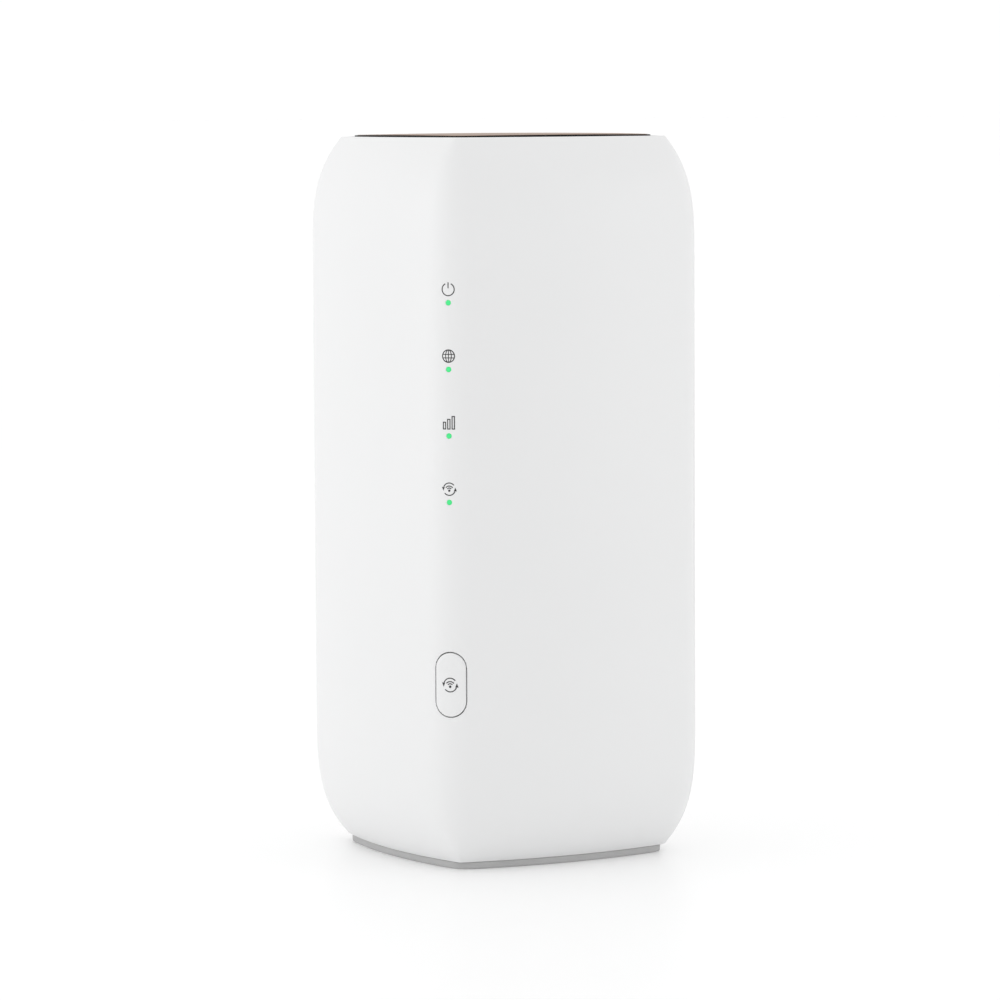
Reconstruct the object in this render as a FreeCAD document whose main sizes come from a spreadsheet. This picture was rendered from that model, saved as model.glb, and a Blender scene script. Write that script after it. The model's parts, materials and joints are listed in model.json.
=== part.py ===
import FreeCAD, Part
import math
import os
import re

import Sketcher
from FreeCAD import Placement, Rotation, Vector

# An indoor wireless router: a bowed square tower that stands on one base.
# The frame is in millimetres, +Z up, with the origin at the middle of the foot's underside.
# The corner that carries the lights and the pairing button points to -Y, the corner with the
# sockets points to +Y, and the four broad sides face the diagonals between the axes.

# ---------------------------------------------------------------- driving dimensions

DIMENSIONS = [
    # housing
    ("rim_height", 230.0, "top edge of the housing above the table"),
    ("half_width", 53.5, "from the axis to the middle of a side"),
    ("side_bow", 154.0, "plan radius of each bowed side"),
    ("corner_radius", 16.6, "plan radius of the corners at mid height"),
    ("end_radius", 1.5, "plan radius of the corners at both ends"),
    ("top_inset", 10.4, "how far the sides draw in at the rim"),
    ("top_blend", 37.0, "height over which they draw in"),
    ("top_power", 3.2, "how late they draw in"),
    ("bottom_inset", 11.0, "how far the sides draw in at the foot"),
    ("bottom_blend", 45.0, "height over which they draw in"),
    ("bottom_power", 4.0, "how late they draw in"),
    ("wall", 2.2, "housing wall"),
    ("seam_gap", 0.2, "gap between the front and rear shells"),
    ("lip_length", 2.2, "tongue that bridges the seam"),
    ("lip_depth", 1.15, "outer face of the tongue below the housing's outside"),
    ("rebate_depth", 1.0, "rebate that takes the tongue"),
    ("fit_gap", 0.1, "clearance between parts that are pressed together"),
    # foot and base
    ("foot_height", 2.35, "height of the foot ring"),
    ("foot_half", 42.1, "from the axis to the middle of the foot's side"),
    ("foot_corner", 8.0, "corner radius of the foot"),
    ("foot_band", 8.0, "width of the foot ring"),
    ("notch_width", 26.0, "width of an air notch in the foot"),
    ("notch_height", 1.6, "height of an air notch in the foot"),
    ("base_half", 39.4, "from the axis to the middle of the base plate's side"),
    ("base_thick", 2.5, "base plate"),
    ("base_corner", 2.5, "corner radius of the base plate"),
    ("vent_length", 22.0, "length of a base vent slot"),
    ("vent_width", 2.2, "width of a base vent slot"),
    ("vent_pitch", 4.6, "distance between vent slots"),
    ("vent_count", 7.0, "vent slots in each field"),
    ("vent_offset", 15.0, "from the axis to the middle of a vent field"),
    # trays and carrier
    ("tray_thick", 3.0, "trays that hold the boards"),
    ("tray_corner", 12.0, "corner radius of the trays"),
    ("lower_tray", 11.0, "underside of the lower tray"),
    ("lower_half", 46.0, "from the axis to the middle of its side"),
    ("upper_tray", 211.0, "underside of the upper tray"),
    ("upper_half", 49.2, "from the axis to the middle of its side"),
    ("boss_reach", 45.5, "from the axis to each corner screw"),
    ("boss_radius", 3.4, "screw bosses"),
    ("rail_height", 4.0, "grooved rails for the main board"),
    ("rail_width", 6.0, "across a rail"),
    ("rail_length", 20.0, "along a rail"),
    ("rail_reach", 27.0, "from the axis to the middle of a rail"),
    ("duct_half", 22.0, "half side of the air opening in a tray"),
    ("duct_offset", 24.0, "from the axis to the middle of the air opening"),
    ("carrier_width", 18.0, "front carrier"),
    ("carrier_depth", 3.0, "front carrier"),
    ("carrier_back", 46.6, "rear face of the carrier, in front of the axis"),
    # main board
    ("board_face", -6.7, "component face of the main board, along x"),
    ("board_thick", 1.6, "main board"),
    ("board_front", 38.0, "front edge of the main board, in front of the axis"),
    ("board_rear", 49.6, "rear edge of the main board, behind the axis"),
    ("board_low", 15.5, "lower edge of the main board"),
    ("board_high", 209.5, "upper edge of the main board"),
    ("tab_width", 20.0, "tab of the main board that carries the card socket"),
    ("tab_low", 7.0, "lower end of the tab"),
    # front board, lights and button
    ("front_face", 51.0, "front face of the front board, in front of the axis"),
    ("front_thick", 1.2, "front board"),
    ("front_width", 14.0, "front board"),
    ("front_low", 41.0, "lower end of the front board"),
    ("front_high", 196.0, "upper end of the front board"),
    ("light_top", 179.0, "height of the highest light"),
    ("light_pitch", 20.7, "distance between lights"),
    ("light_radius", 0.8, "light pipe at the housing"),
    ("light_gap", 0.05, "clearance of a light pipe in its hole"),
    ("pipe_radius", 1.2, "light pipe near the board"),
    ("pipe_start", 52.0, "rear end of the light pipes, in front of the axis"),
    ("spine_width", 4.0, "bar that joins the light pipes"),
    ("spine_depth", 2.0, "bar that joins the light pipes"),
    ("spine_back", 56.4, "rear face of that bar, in front of the axis"),
    ("spine_end", 3.0, "bar beyond the outer pipes"),
    ("button_height", 59.8, "middle of the pairing button"),
    ("button_width", 9.6, "pairing button"),
    ("button_length", 20.0, "pairing button"),
    ("button_gap", 0.35, "gap around the pairing button"),
    ("button_proud", 0.3, "pairing button above the housing"),
    ("button_inner", 12.4, "radius of the button's rear face about the corner's axis"),
    ("flange_outer", 14.1, "radius of the retaining flange about the corner's axis"),
    ("flange_extra", 1.0, "how far the flange reaches behind the housing"),
    ("switch_size", 6.0, "body of the tactile switches"),
    ("switch_depth", 3.6, "body of the tactile switches"),
    ("plunger_radius", 1.7, "plunger of the tactile switches"),
    ("plunger_proud", 1.5, "plunger above its switch body"),
    ("plunger_inside", 1.2, "plunger inside its switch body"),
    ("switch_well", 1.8, "depth of the well in the switch body"),
    ("touch_gap", 0.02, "gap between parts that touch"),
    # socket panel
    ("panel_face", 52.0, "outer face of the socket panel, behind the axis"),
    ("panel_thick", 2.0, "socket panel"),
    ("window_width", 28.0, "opening in the rear shell"),
    ("window_low", 25.0, "lower end of the opening"),
    ("window_high", 150.0, "upper end of the opening"),
    ("tub_wall", 1.8, "wall round the socket panel"),
    ("window_corner", 3.0, "corner radius of the opening"),
    ("port_gap", 0.2, "clearance round a socket in the panel"),
    ("lan_low", 70.0, "middle of the lower network socket"),
    ("lan_pitch", 20.0, "distance between the network sockets"),
    ("lan_wide", 16.0, "network socket along the board"),
    ("lan_tall", 13.4, "network socket above the board"),
    ("lan_deep", 21.0, "network socket along the cable"),
    ("lan_proud", 0.3, "network socket beyond the panel"),
    ("lan_shell", 0.3, "sheet metal round the network socket"),
    ("cavity_wide", 11.8, "plug cavity"),
    ("cavity_tall", 7.0, "plug cavity"),
    ("cavity_deep", 13.5, "plug cavity"),
    ("latch_wide", 6.2, "latch slot of the plug cavity"),
    ("latch_tall", 2.6, "latch slot of the plug cavity"),
    ("contact_pitch", 1.02, "contacts of a network socket"),
    ("contact_size", 0.4, "contacts of a network socket"),
    ("contact_count", 8.0, "contacts of a network socket"),
    ("power_socket", 50.0, "height of the power socket"),
    ("power_radius", 4.1, "nose of the power socket"),
    ("power_bore", 3.15, "bore of the power socket"),
    ("power_pin", 1.0, "centre pin of the power socket"),
    ("power_body", 9.0, "body of the power socket along the board"),
    ("power_deep", 14.0, "body of the power socket along the cable"),
    ("switch_height", 36.0, "height of the power switch"),
    ("key_width", 8.0, "power button"),
    ("key_length", 9.0, "power button"),
    ("key_proud", 2.6, "power button beyond the panel"),
    ("key_stem", 2.0, "half side of the power button's stem"),
    ("key_corner", 1.5, "corner radius of the power button"),
    ("latch_travel", 1.8, "travel of the power button"),
    ("latch_deep", 12.0, "body of the power switch"),
    ("reset_height", 104.0, "height of the reset switch"),
    ("reset_hole", 0.9, "radius of the reset pin hole"),
    ("reset_x", -4.2, "reset plunger, along x"),
    # antenna sockets and their cover
    ("aerial_low", 122.0, "height of the lower antenna socket"),
    ("aerial_pitch", 17.0, "distance between the antenna sockets"),
    ("aerial_radius", 3.175, "threaded barrel of an antenna socket"),
    ("aerial_root", 2.8, "root of its thread, inside the nut"),
    ("aerial_length", 8.4, "barrel beyond the panel"),
    ("aerial_tail", 5.0, "barrel behind the panel"),
    ("aerial_bore", 2.3, "bore of an antenna socket"),
    ("aerial_core", 0.65, "centre contact of an antenna socket"),
    ("nut_flat", 4.0, "half the width across the nut's flats"),
    ("nut_thick", 2.0, "nut of an antenna socket"),
    ("cover_thick", 1.8, "antenna cover"),
    ("cover_gap", 0.3, "gap around the antenna cover"),
    ("cover_low", 112.3, "lower edge of the antenna cover"),
    ("cover_step", 117.4, "above here the cover has its full width"),
    ("hinge_y", 55.0, "hinge pin, behind the axis"),
    ("hinge_z", 114.2, "hinge pin"),
    ("hinge_pin", 0.8, "hinge pin radius"),
    ("hinge_gap", 0.05, "clearance of the hinge pin"),
    ("knuckle", 2.0, "knuckle radius"),
    ("ear_inner", 11.5, "inner face of a hinge ear, from the middle"),
    ("ear_outer", 13.6, "outer face of a hinge ear, from the middle"),
    # card socket and its door
    ("card_width", 15.0, "card socket along y"),
    ("card_depth", 2.6, "card socket above the board"),
    ("card_high", 23.0, "upper end of the card socket"),
    ("card_slot", 12.4, "width of the card slot"),
    ("card_thin", 1.0, "thickness of the card slot"),
    ("card_reach", 13.0, "depth of the card slot"),
    ("door_x", -5.0, "middle of the card door along x"),
    ("door_width", 12.0, "card door along x"),
    ("door_length", 22.0, "card door along y"),
    ("door_thick", 1.3, "card door"),
    ("door_gap", 0.25, "gap around the card door"),
    ("door_pin", 0.6, "hinge pins of the card door"),
    ("door_ledge", 1.4, "ledge that the card door rests on"),
    # cap and grille
    ("cap_half", 39.9, "from the axis to the middle of the cap's side"),
    ("cap_corner", 8.0, "corner radius of the cap"),
    ("cap_low", 228.3, "underside of the cap"),
    ("cap_crown", 231.0, "middle of the cap's top"),
    ("cap_sphere", 2500.0, "radius of the cap's domed top"),
    ("inlay_thick", 0.25, "coloured inlay on the cap"),
    ("inlay_proud", 0.1, "how far the inlay stands above the black edge round it"),
    ("inlay_edge", 1.0, "black edge left round the inlay"),
    ("post_radius", 3.0, "posts under the cap"),
    ("post_reach", 33.0, "from the axis to a post"),
    ("grille_low", 220.0, "underside of the top grille"),
    ("grille_thick", 2.0, "top grille"),
    ("grille_half", 46.2, "from the axis to the middle of the grille's side"),
    ("grille_slot", 3.0, "width of a grille slot"),
    ("grille_pitch", 6.0, "distance between grille slots"),
    ("grille_count", 11.0, "grille slots"),
    ("grille_reach", 44.0, "length of a grille slot"),
    ("grille_screw_reach", 42.0, "from the axis to each screw of the grille"),
    # electronics
    ("can_sheet", 0.3, "sheet metal of the shield cans"),
    ("can_height", 2.6, "shield cans above the board"),
    ("soc_can", 36.0, "side of the processor's shield can"),
    ("soc_height", 132.0, "middle of the processor"),
    ("soc_size", 17.0, "processor"),
    ("wifi_can", 30.0, "side of the radio's shield can"),
    ("wifi_height", 178.0, "middle of the radio"),
    ("wifi_size", 10.0, "radio chip"),
    ("chip_thick", 1.2, "chips"),
    ("pad_thick", 1.0, "thermal pads"),
    ("sink_base", 3.0, "heatsink base"),
    ("sink_depth", 52.0, "main heatsink along y"),
    ("sink_rear", 22.0, "rear edge of the main heatsink"),
    ("sink_low", 110.0, "lower end of the main heatsink"),
    ("sink_high", 198.0, "upper end of the main heatsink"),
    ("fin_height", 24.0, "fins of the main heatsink"),
    ("fin_thick", 1.4, "heatsink fins"),
    ("fin_pitch", 6.325, "distance between fins"),
    ("modem_width", 30.0, "modem board along y"),
    ("modem_length", 52.0, "modem board along z"),
    ("modem_low", 112.0, "lower end of the modem board"),
    ("modem_thick", 0.8, "modem board"),
    ("modem_rise", 2.8, "modem board above the main board"),
    ("modem_can", 2.2, "modem's shield can"),
    ("modem_bare", 8.0, "end of the modem board beyond its can"),
    ("modem_sink", 38.0, "modem heatsink along y"),
    ("modem_fin", 15.0, "fins of the modem heatsink"),
    ("plug_size", 2.6, "aerial receptacles"),
    ("plug_thick", 1.2, "aerial receptacles"),
    ("plug_pitch", 7.0, "distance between aerial receptacles"),
    ("coax_radius", 0.6, "aerial leads"),
    ("panel_reach", 43.4, "outer face of an antenna board, from the axis"),
    ("panel_board", 0.8, "antenna boards"),
    ("panel_wide", 36.0, "antenna boards"),
    ("panel_low", 14.2, "lower end of the antenna boards"),
    ("panel_high", 210.8, "upper end of the antenna boards"),
    ("trace_thick", 0.1, "copper on the antenna boards"),
    # fasteners
    ("screw_shank", 1.5, "case screw"),
    ("screw_head", 2.8, "case screw"),
    ("head_thick", 1.6, "case screw"),
    ("screw_length", 9.0, "case screw"),
    ("small_shank", 1.0, "board screw"),
    ("small_head", 1.9, "board screw"),
    ("small_thick", 1.1, "board screw"),
    ("small_length", 4.0, "board screw"),
]
ALIASES = {alias for alias, value, meaning in DIMENSIONS}

doc = FreeCAD.newDocument("router")
sheet = doc.addObject("Spreadsheet::Sheet", "dims")
for line, (alias, value, meaning) in enumerate(DIMENSIONS, start=1):
    sheet.set(f"A{line}", meaning)
    sheet.set(f"B{line}", str(value))
    sheet.setAlias(f"B{line}", alias)
doc.recompute()
NODES = {}


def size(alias):
    """The number in one cell of the sheet."""
    return float(sheet.get(alias))


# ---------------------------------------------------------------- small builders


def link(obj, prop, text):
    """Binds a property to an expression in the sheet's aliases, such as "wall * 2"."""
    named = re.sub(r"[a-z_]+", lambda m: "dims." + m[0] if m[0] in ALIASES else m[0], text)
    obj.setExpression(prop, named)
    return obj


def place(obj, x="0", y="0", z="0", turn=None):
    """Puts an object at three expressions, after an optional rotation."""
    if turn is not None:
        obj.Placement = Placement(Vector(), turn)
    for axis, text in zip("xyz", (x, y, z)):
        link(obj, "Placement.Base." + axis, text)
    return obj


def node(obj, label):
    """Makes an object one of the assembly's sub-parts, under its own name."""
    obj.Label = label
    NODES[label] = obj
    return obj


UPRIGHT = Rotation()
SIDEWAYS = Rotation(Vector(0, 1, 0), 90)
REARWARD = Rotation(Vector(1, 0, 0), -90)
FORWARD = Rotation(Vector(1, 0, 0), 90)
LEFTWARD = Rotation(Vector(0, 1, 0), -90)
DOWNWARD = Rotation(Vector(1, 0, 0), 180)


def block(name, lengths, corner, turn=None):
    """A box: three lengths, and its low corner."""
    solid = doc.addObject("Part::Box", name)
    for prop, text in zip(("Length", "Width", "Height"), lengths):
        link(solid, prop, text)
    return place(solid, *corner, turn=turn)


def rod(name, radius, length, start, turn=UPRIGHT):
    """A cylinder from a start point, along +Z or turned to another direction."""
    solid = doc.addObject("Part::Cylinder", name)
    link(solid, "Radius", radius)
    link(solid, "Height", length)
    return place(solid, *start, turn=turn)


def fuse(name, *parts):
    solid = doc.addObject("Part::MultiFuse", name)
    solid.Shapes = list(parts)
    return solid


def common(name, *parts):
    solid = doc.addObject("Part::MultiCommon", name)
    solid.Shapes = list(parts)
    return solid


def cut(name, base, *tools):
    solid = doc.addObject("Part::Cut", name)
    solid.Base = base
    solid.Tool = tools[0] if len(tools) == 1 else fuse(name + "_tools", *tools)
    return solid


def group(name, *parts):
    """Separate solids that share one node."""
    solid = doc.addObject("Part::Compound", name)
    solid.Links = list(parts)
    return solid


def body(name):
    return doc.addObject("PartDesign::Body", name)


def sketch_on(owner, name, plane="XY_Plane", x="0", y="0", z="0", turn=0.0):
    """A sketch on one of its body's origin planes, shifted by expressions in the plane's own axes."""
    drawing = owner.newObject("Sketcher::SketchObject", name)
    support = next(f for f in owner.Origin.OriginFeatures if f.Role == plane)
    drawing.AttachmentSupport = [(support, "")]
    drawing.MapMode = "FlatFace"
    drawing.AttachmentOffset = Placement(Vector(), Rotation(Vector(0, 0, 1), turn))
    for axis, text in zip("xyz", (x, y, z)):
        link(drawing, "AttachmentOffset.Base." + axis, text)
    return drawing


def bind_last(drawing, text):
    """Binds the constraint that was just added to an expression."""
    link(drawing, f"Constraints[{drawing.ConstraintCount - 1}]", text)


def draw_rectangle(drawing, width, height):
    """A rectangle about the sketch's origin."""
    corners = [Vector(-1, -1, 0), Vector(1, -1, 0), Vector(1, 1, 0), Vector(-1, 1, 0)]
    for k in range(4):
        drawing.addGeometry(Part.LineSegment(corners[k], corners[(k + 1) % 4]))
    for k in range(4):
        drawing.addConstraint(Sketcher.Constraint("Coincident", k, 2, (k + 1) % 4, 1))
        drawing.addConstraint(Sketcher.Constraint("Vertical" if k % 2 else "Horizontal", k))
    drawing.addConstraint(Sketcher.Constraint("Symmetric", 0, 1, 1, 2, -1, 1))
    drawing.addConstraint(Sketcher.Constraint("DistanceX", 0, 1, 0, 2, 2.0))
    bind_last(drawing, width)
    drawing.addConstraint(Sketcher.Constraint("DistanceY", 1, 1, 1, 2, 2.0))
    bind_last(drawing, height)


def draw_circle(drawing, radius):
    """A circle about the sketch's origin."""
    drawing.addGeometry(Part.Circle(Vector(), Vector(0, 0, 1), 1.0))
    drawing.addConstraint(Sketcher.Constraint("Coincident", 0, 3, -1, 1))
    drawing.addConstraint(Sketcher.Constraint("Radius", 0, 1.0))
    bind_last(drawing, radius)


def draw_bowed_square(drawing, half):
    """Four arcs of the housing's side bow that meet at four corners, about the sketch's origin."""
    reach = 40.0
    bow = 154.0
    spread = math.asin(0.24)
    for k in range(4):
        facing = k * math.pi / 2
        middle = Vector(math.cos(facing), math.sin(facing), 0) * (reach - bow)
        circle = Part.Circle(middle, Vector(0, 0, 1), bow)
        drawing.addGeometry(Part.ArcOfCircle(circle, facing - spread, facing + spread))
    for k in range(4):
        drawing.addConstraint(Sketcher.Constraint("Coincident", k, 2, (k + 1) % 4, 1))
        drawing.addConstraint(Sketcher.Constraint("PointOnObject", k, 3, -2 if k % 2 else -1))
        drawing.addConstraint(Sketcher.Constraint("Radius", k, bow))
        bind_last(drawing, "side_bow")
        distance = "DistanceY" if k % 2 else "DistanceX"
        ends = ((k, 3), (-1, 1)) if k < 2 else ((-1, 1), (k, 3))
        drawing.addConstraint(Sketcher.Constraint(distance, *ends[0], *ends[1], bow - reach))
        bind_last(drawing, f"side_bow - ({half})")


def pad(owner, name, profile, length, reverse=False, middle=False):
    feature = owner.newObject("PartDesign::Pad", name)
    feature.Profile = profile
    link(feature, "Length", length)
    feature.Reversed = reverse
    if middle:
        feature.SideType = "Symmetric"
    doc.recompute()
    return feature


def pocket(owner, name, profile, length, reverse=False):
    """A pocket, with a check that it removed something."""
    before = owner.Shape.Volume
    feature = owner.newObject("PartDesign::Pocket", name)
    feature.Profile = profile
    link(feature, "Length", length)
    feature.Reversed = reverse
    doc.recompute()
    if not owner.Shape.Volume < before - 1e-6:
        raise ValueError(f"{owner.Name}: pocket {name} removed nothing")
    return feature


def repeat(owner, name, feature, drawing, axis, count, pitch):
    """Copies a feature along one axis of its sketch."""
    row = owner.newObject("PartDesign::LinearPattern", name)
    row.Originals = [feature]
    row.Direction = (drawing, [axis])
    link(row, "Occurrences", count)
    link(row, "Length", f"({count} - 1) * {pitch}")
    owner.Tip = row
    doc.recompute()
    return row


def repeat_round(owner, name, feature, drawing, count):
    """Copies a feature round the normal of its sketch's origin."""
    ring = owner.newObject("PartDesign::PolarPattern", name)
    ring.Originals = [feature]
    ring.Axis = (next(f for f in owner.Origin.OriginFeatures if f.Role == "Z_Axis"), [""])
    ring.Angle = 360
    ring.Occurrences = count
    owner.Tip = ring
    doc.recompute()
    return ring


def round_uprights(owner, name, radius):
    """Fillets every vertical straight edge of the body so far."""
    edges = []
    for index, edge in enumerate(owner.Shape.Edges, start=1):
        straight = isinstance(edge.Curve, Part.Line)
        if straight and abs(abs(edge.tangentAt(edge.FirstParameter).z) - 1) < 1e-6:
            edges.append(f"Edge{index}")
    return fillet(owner, name, edges, radius)


def fillet(owner, name, edges, radius):
    """Rounds some edges of the body's last feature."""
    last = owner.Tip
    feature = owner.newObject("PartDesign::Fillet", name)
    feature.Base = (last, edges)
    link(feature, "Radius", radius)
    doc.recompute()
    return feature


def round_along_y(owner, name, radius):
    """Fillets every straight edge of the body that runs along y."""
    edges = [
        f"Edge{index}" for index, edge in enumerate(owner.Shape.Edges, start=1)
        if abs(abs(edge.tangentAt(edge.FirstParameter).y) - 1) < 1e-6
    ]
    return fillet(owner, name, edges, radius)


def bowed_plate(name, half, corner, low, thick):
    """A plate with the housing's plan shape, as a body that can be cut further."""
    owner = body(name)
    outline = sketch_on(owner, name + "_outline", z=low, turn=45.0)
    draw_bowed_square(outline, half)
    pad(owner, name + "_plate", outline, thick)
    round_uprights(owner, name + "_corners", corner)
    return owner


# ---------------------------------------------------------------- housing forms


def housing_outline(half, corner, bow, height):
    """Closed outline of the housing at one height: four bowed sides and four round corners."""
    side_centre = half - bow
    reach = bow - corner
    corner_centre = (side_centre + math.sqrt(2 * reach**2 - side_centre**2)) / 2
    turn = math.atan2(corner_centre, corner_centre - side_centre)
    edges = []
    for face in range(4):
        facing = Rotation(Vector(0, 0, 1), 45 + 90 * face)

        def point(centre, radius, angle):
            flat = centre + Vector(math.cos(angle), math.sin(angle), 0) * radius
            return facing.multVec(flat) + Vector(0, 0, height)

        side = Vector(side_centre, 0, 0)
        round_corner = Vector(corner_centre, corner_centre, 0)
        edges.append(Part.Arc(*(point(side, bow, a) for a in (-turn, 0, turn))).toShape())
        ends = (turn, math.pi / 4, math.pi / 2 - turn)
        edges.append(Part.Arc(*(point(round_corner, corner, a) for a in ends)).toShape())
    return Part.Wire(edges)


def housing_form(name, inset, beyond):
    """The housing's solid form, inset by a depth and carried beyond both ends by a length."""
    low, high = size("foot_height"), size("rim_height")
    bottom, top = size("bottom_blend"), size("top_blend")
    shares = (0, 0.05, 0.12, 0.2, 0.3, 0.42, 0.56, 0.75, 1)
    starts = [-beyond / bottom] if beyond else []
    ends = [-beyond / top] if beyond else []
    straight = high - top - low - bottom
    levels = [(low + bottom * s, 1 - s, "bottom") for s in (*starts, *shares)]
    levels += [(low + bottom + straight * k / 6, 0, "top") for k in range(1, 6)]
    levels += [(high - top * s, 1 - s, "top") for s in reversed((*ends, *shares))]
    outlines = []
    for height, closeness, end in levels:
        drawn = closeness ** size(end + "_power")
        half = size("half_width") - size(end + "_inset") * drawn - inset
        radius = size("corner_radius") - (size("corner_radius") - size("end_radius")) * drawn
        corner = max(radius - inset, size("rebate_depth") / 2)
        outlines.append(housing_outline(half, corner, size("side_bow") - inset, height))
    form = doc.addObject("Part::Feature", name)
    form.Shape = Part.makeLoft(outlines, True, False)
    return form


def corner_axis():
    """Distance from the router's axis to the axis of each round corner at mid height."""
    side_centre = size("half_width") - size("side_bow")
    reach = size("side_bow") - size("corner_radius")
    return (side_centre + math.sqrt(2 * reach**2 - side_centre**2)) / math.sqrt(2)


CORNER_AXIS = corner_axis()
APEX = CORNER_AXIS + size("corner_radius")
SPAN = 160.0
LIGHTS = range(4)
SWITCH_CASES = []


def half_space(name, low, high):
    """A block wider and taller than the housing, between two y planes."""
    lengths = (str(SPAN), f"{high} - ({low})", "rim_height + 40")
    return block(name, lengths, (str(-SPAN / 2), low, "-20"))


def stadium(name, width, length, height, start, depth):
    """A prism along +Y with round upper and lower ends, about x = 0, from the y plane start."""
    half = f"({width}) / 2"
    straight = f"({length}) - ({width})"
    middle = block(name + "_middle", (width, depth, straight), (f"-{half}", start, f"{height} - ({straight}) / 2"))
    ends = [
        rod(name + end, half, depth, ("0", start, f"{height} {sign} ({straight}) / 2"), REARWARD)
        for end, sign in (("_low", "-"), ("_high", "+"))
    ]
    return fuse(name, middle, *ends)


def make_housing():
    """Front and rear shells: one wall cut at the side corners, with a tongue behind the seam."""
    outer = housing_form("outer_form", 0.0, 0.0)
    inner = housing_form("inner_form", size("wall"), 1.0)
    tongue_form = housing_form("tongue_form", size("lip_depth"), 0.0)
    rebate_form = housing_form("rebate_form", size("rebate_depth"), 1.0)
    wall = cut("housing_wall", outer, inner)

    front_half = common("front_half", wall, half_space("front_space", "-90", "-seam_gap / 2"))
    rebate = common("rebate", rebate_form, half_space("rebate_space", "-lip_length - fit_gap", "0"))
    button_hole = stadium(
        "button_hole", "button_width + 2 * button_gap", "button_length + 2 * button_gap",
        "button_height", str(-APEX - 3), "10")
    light_holes = [
        rod(f"light_hole_{k}", "light_radius + light_gap", "10",
            ("0", str(-APEX - 3), f"light_top - {k} * light_pitch"), REARWARD)
        for k in LIGHTS
    ]
    node(cut("front_cut", front_half, rebate, button_hole, *light_holes), "front_shell")

    rear_half = common("rear_half", wall, half_space("rear_space", "seam_gap / 2", "90"))
    tongue_wall = cut("tongue_wall", tongue_form, inner)
    tongue = common("tongue", tongue_wall, half_space("tongue_space", "-lip_length", "seam_gap"))
    window = window_prism("window", "window_width", "window_low", "window_high", "46", "30")
    node(cut("rear_cut", fuse("rear_joined", rear_half, tongue), window), "rear_shell")


def window_prism(name, width, low, high, start, depth):
    """An upright rectangle with round corners, extruded along +Y from the y plane start."""
    owner = body(name)
    outline = sketch_on(owner, name + "_outline", "XZ_Plane", y=f"({low} + {high}) / 2", z=f"-({start})")
    draw_rectangle(outline, width, f"{high} - ({low})")
    pad(owner, name + "_pad", outline, depth, reverse=True)
    round_along_y(owner, name + "_corners", "window_corner")
    return owner


# ---------------------------------------------------------------- foot, base and card door


def make_foot():
    """The soft ring that the router stands on, with air notches under the two rear sides."""
    ring = bowed_plate("foot_body", "foot_half", "foot_corner", "0", "foot_height")
    hollow = sketch_on(ring, "foot_hollow", z="foot_height", turn=45.0)
    draw_bowed_square(hollow, "foot_half - foot_band")
    pocket(ring, "foot_opening", hollow, "foot_height")
    for name, turn in (("foot_notch_left", 135.0), ("foot_notch_right", 45.0)):
        notch = sketch_on(ring, name, turn=turn)
        draw_rectangle(notch, "notch_width", "notch_width")
        reach = math.radians(turn)
        link(notch, "AttachmentOffset.Base.x", f"foot_half * {math.cos(reach):.6f}")
        link(notch, "AttachmentOffset.Base.y", f"foot_half * {math.sin(reach):.6f}")
        pocket(ring, name + "_cut", notch, "notch_height", reverse=True)
    node(ring, "foot_ring")


def make_base():
    """The base plate: vent slots, four screw holes, and a stepped opening for the card door."""
    plate = bowed_plate("base_body", "base_half", "base_corner", "foot_height", "base_thick")
    for name, sign in (("vent_front", "-"), ("vent_rear", "")):
        slot = sketch_on(
            plate, name, x="-(vent_count - 1) / 2 * vent_pitch", y=f"{sign}(vent_offset + door_length / 2)",
            z="foot_height + base_thick")
        draw_rectangle(slot, "vent_width", "vent_length * 0.7")
        first = pocket(plate, name + "_slot", slot, "base_thick")
        repeat(plate, name + "_row", first, slot, "H_Axis", "vent_count", "vent_pitch")
    holes = sketch_on(plate, "base_hole", x="boss_reach", z="foot_height + base_thick")
    draw_circle(holes, "screw_shank + fit_gap")
    hole = pocket(plate, "base_hole_cut", holes, "base_thick")
    repeat_round(plate, "base_hole_ring", hole, holes, 4)
    heads = sketch_on(plate, "base_counterbore", x="boss_reach", z="foot_height")
    draw_circle(heads, "screw_head + fit_gap")
    head = pocket(plate, "base_counterbore_cut", heads, "head_thick", reverse=True)
    repeat_round(plate, "base_counterbore_ring", head, heads, 4)
    seat = sketch_on(plate, "door_seat", x="door_x", z="foot_height")
    draw_rectangle(seat, "door_width + 2 * door_gap", "door_length + 2 * door_gap")
    pocket(plate, "door_seat_cut", seat, "door_thick + fit_gap", reverse=True)
    opening = sketch_on(plate, "door_opening", x="door_x", z="foot_height + base_thick")
    draw_rectangle(opening, "door_width - 2 * door_ledge", "door_length - 2 * door_ledge")
    pocket(plate, "door_opening_cut", opening, "base_thick")
    reach = "door_length / 2 + door_gap + 1.5"
    sockets = rod(
        "door_pin_sockets", "door_pin + hinge_gap", f"2 * ({reach})",
        ("door_x - door_width / 2 + 1", f"-({reach})", "foot_height + door_thick / 2"), REARWARD)
    node(cut("base_cut", plate, sockets), "base_plate")


def make_card_door():
    """The flap over the card socket, on two stub pins along one long edge."""
    low = "foot_height"
    leaf = block(
        "door_leaf", ("door_width - 1", "door_length", "door_thick"),
        ("door_x - door_width / 2 + 1", "-door_length / 2", low))
    barrel = rod(
        "door_barrel", "door_thick / 2", "door_length",
        ("door_x - door_width / 2 + 1", "-door_length / 2", f"{low} + door_thick / 2"), REARWARD)
    reach = "door_length / 2 + door_gap + 1.2"
    pins = rod(
        "door_pins", "door_pin", f"2 * ({reach})",
        ("door_x - door_width / 2 + 1", f"-({reach})", f"{low} + door_thick / 2"), REARWARD)
    notch = block(
        "door_notch", ("2", "8", "0.6"), ("door_x + door_width / 2 - 1.2", "-4", low))
    node(cut("door_cut", fuse("door_joined", leaf, barrel, pins), notch), "card_door")


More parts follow.
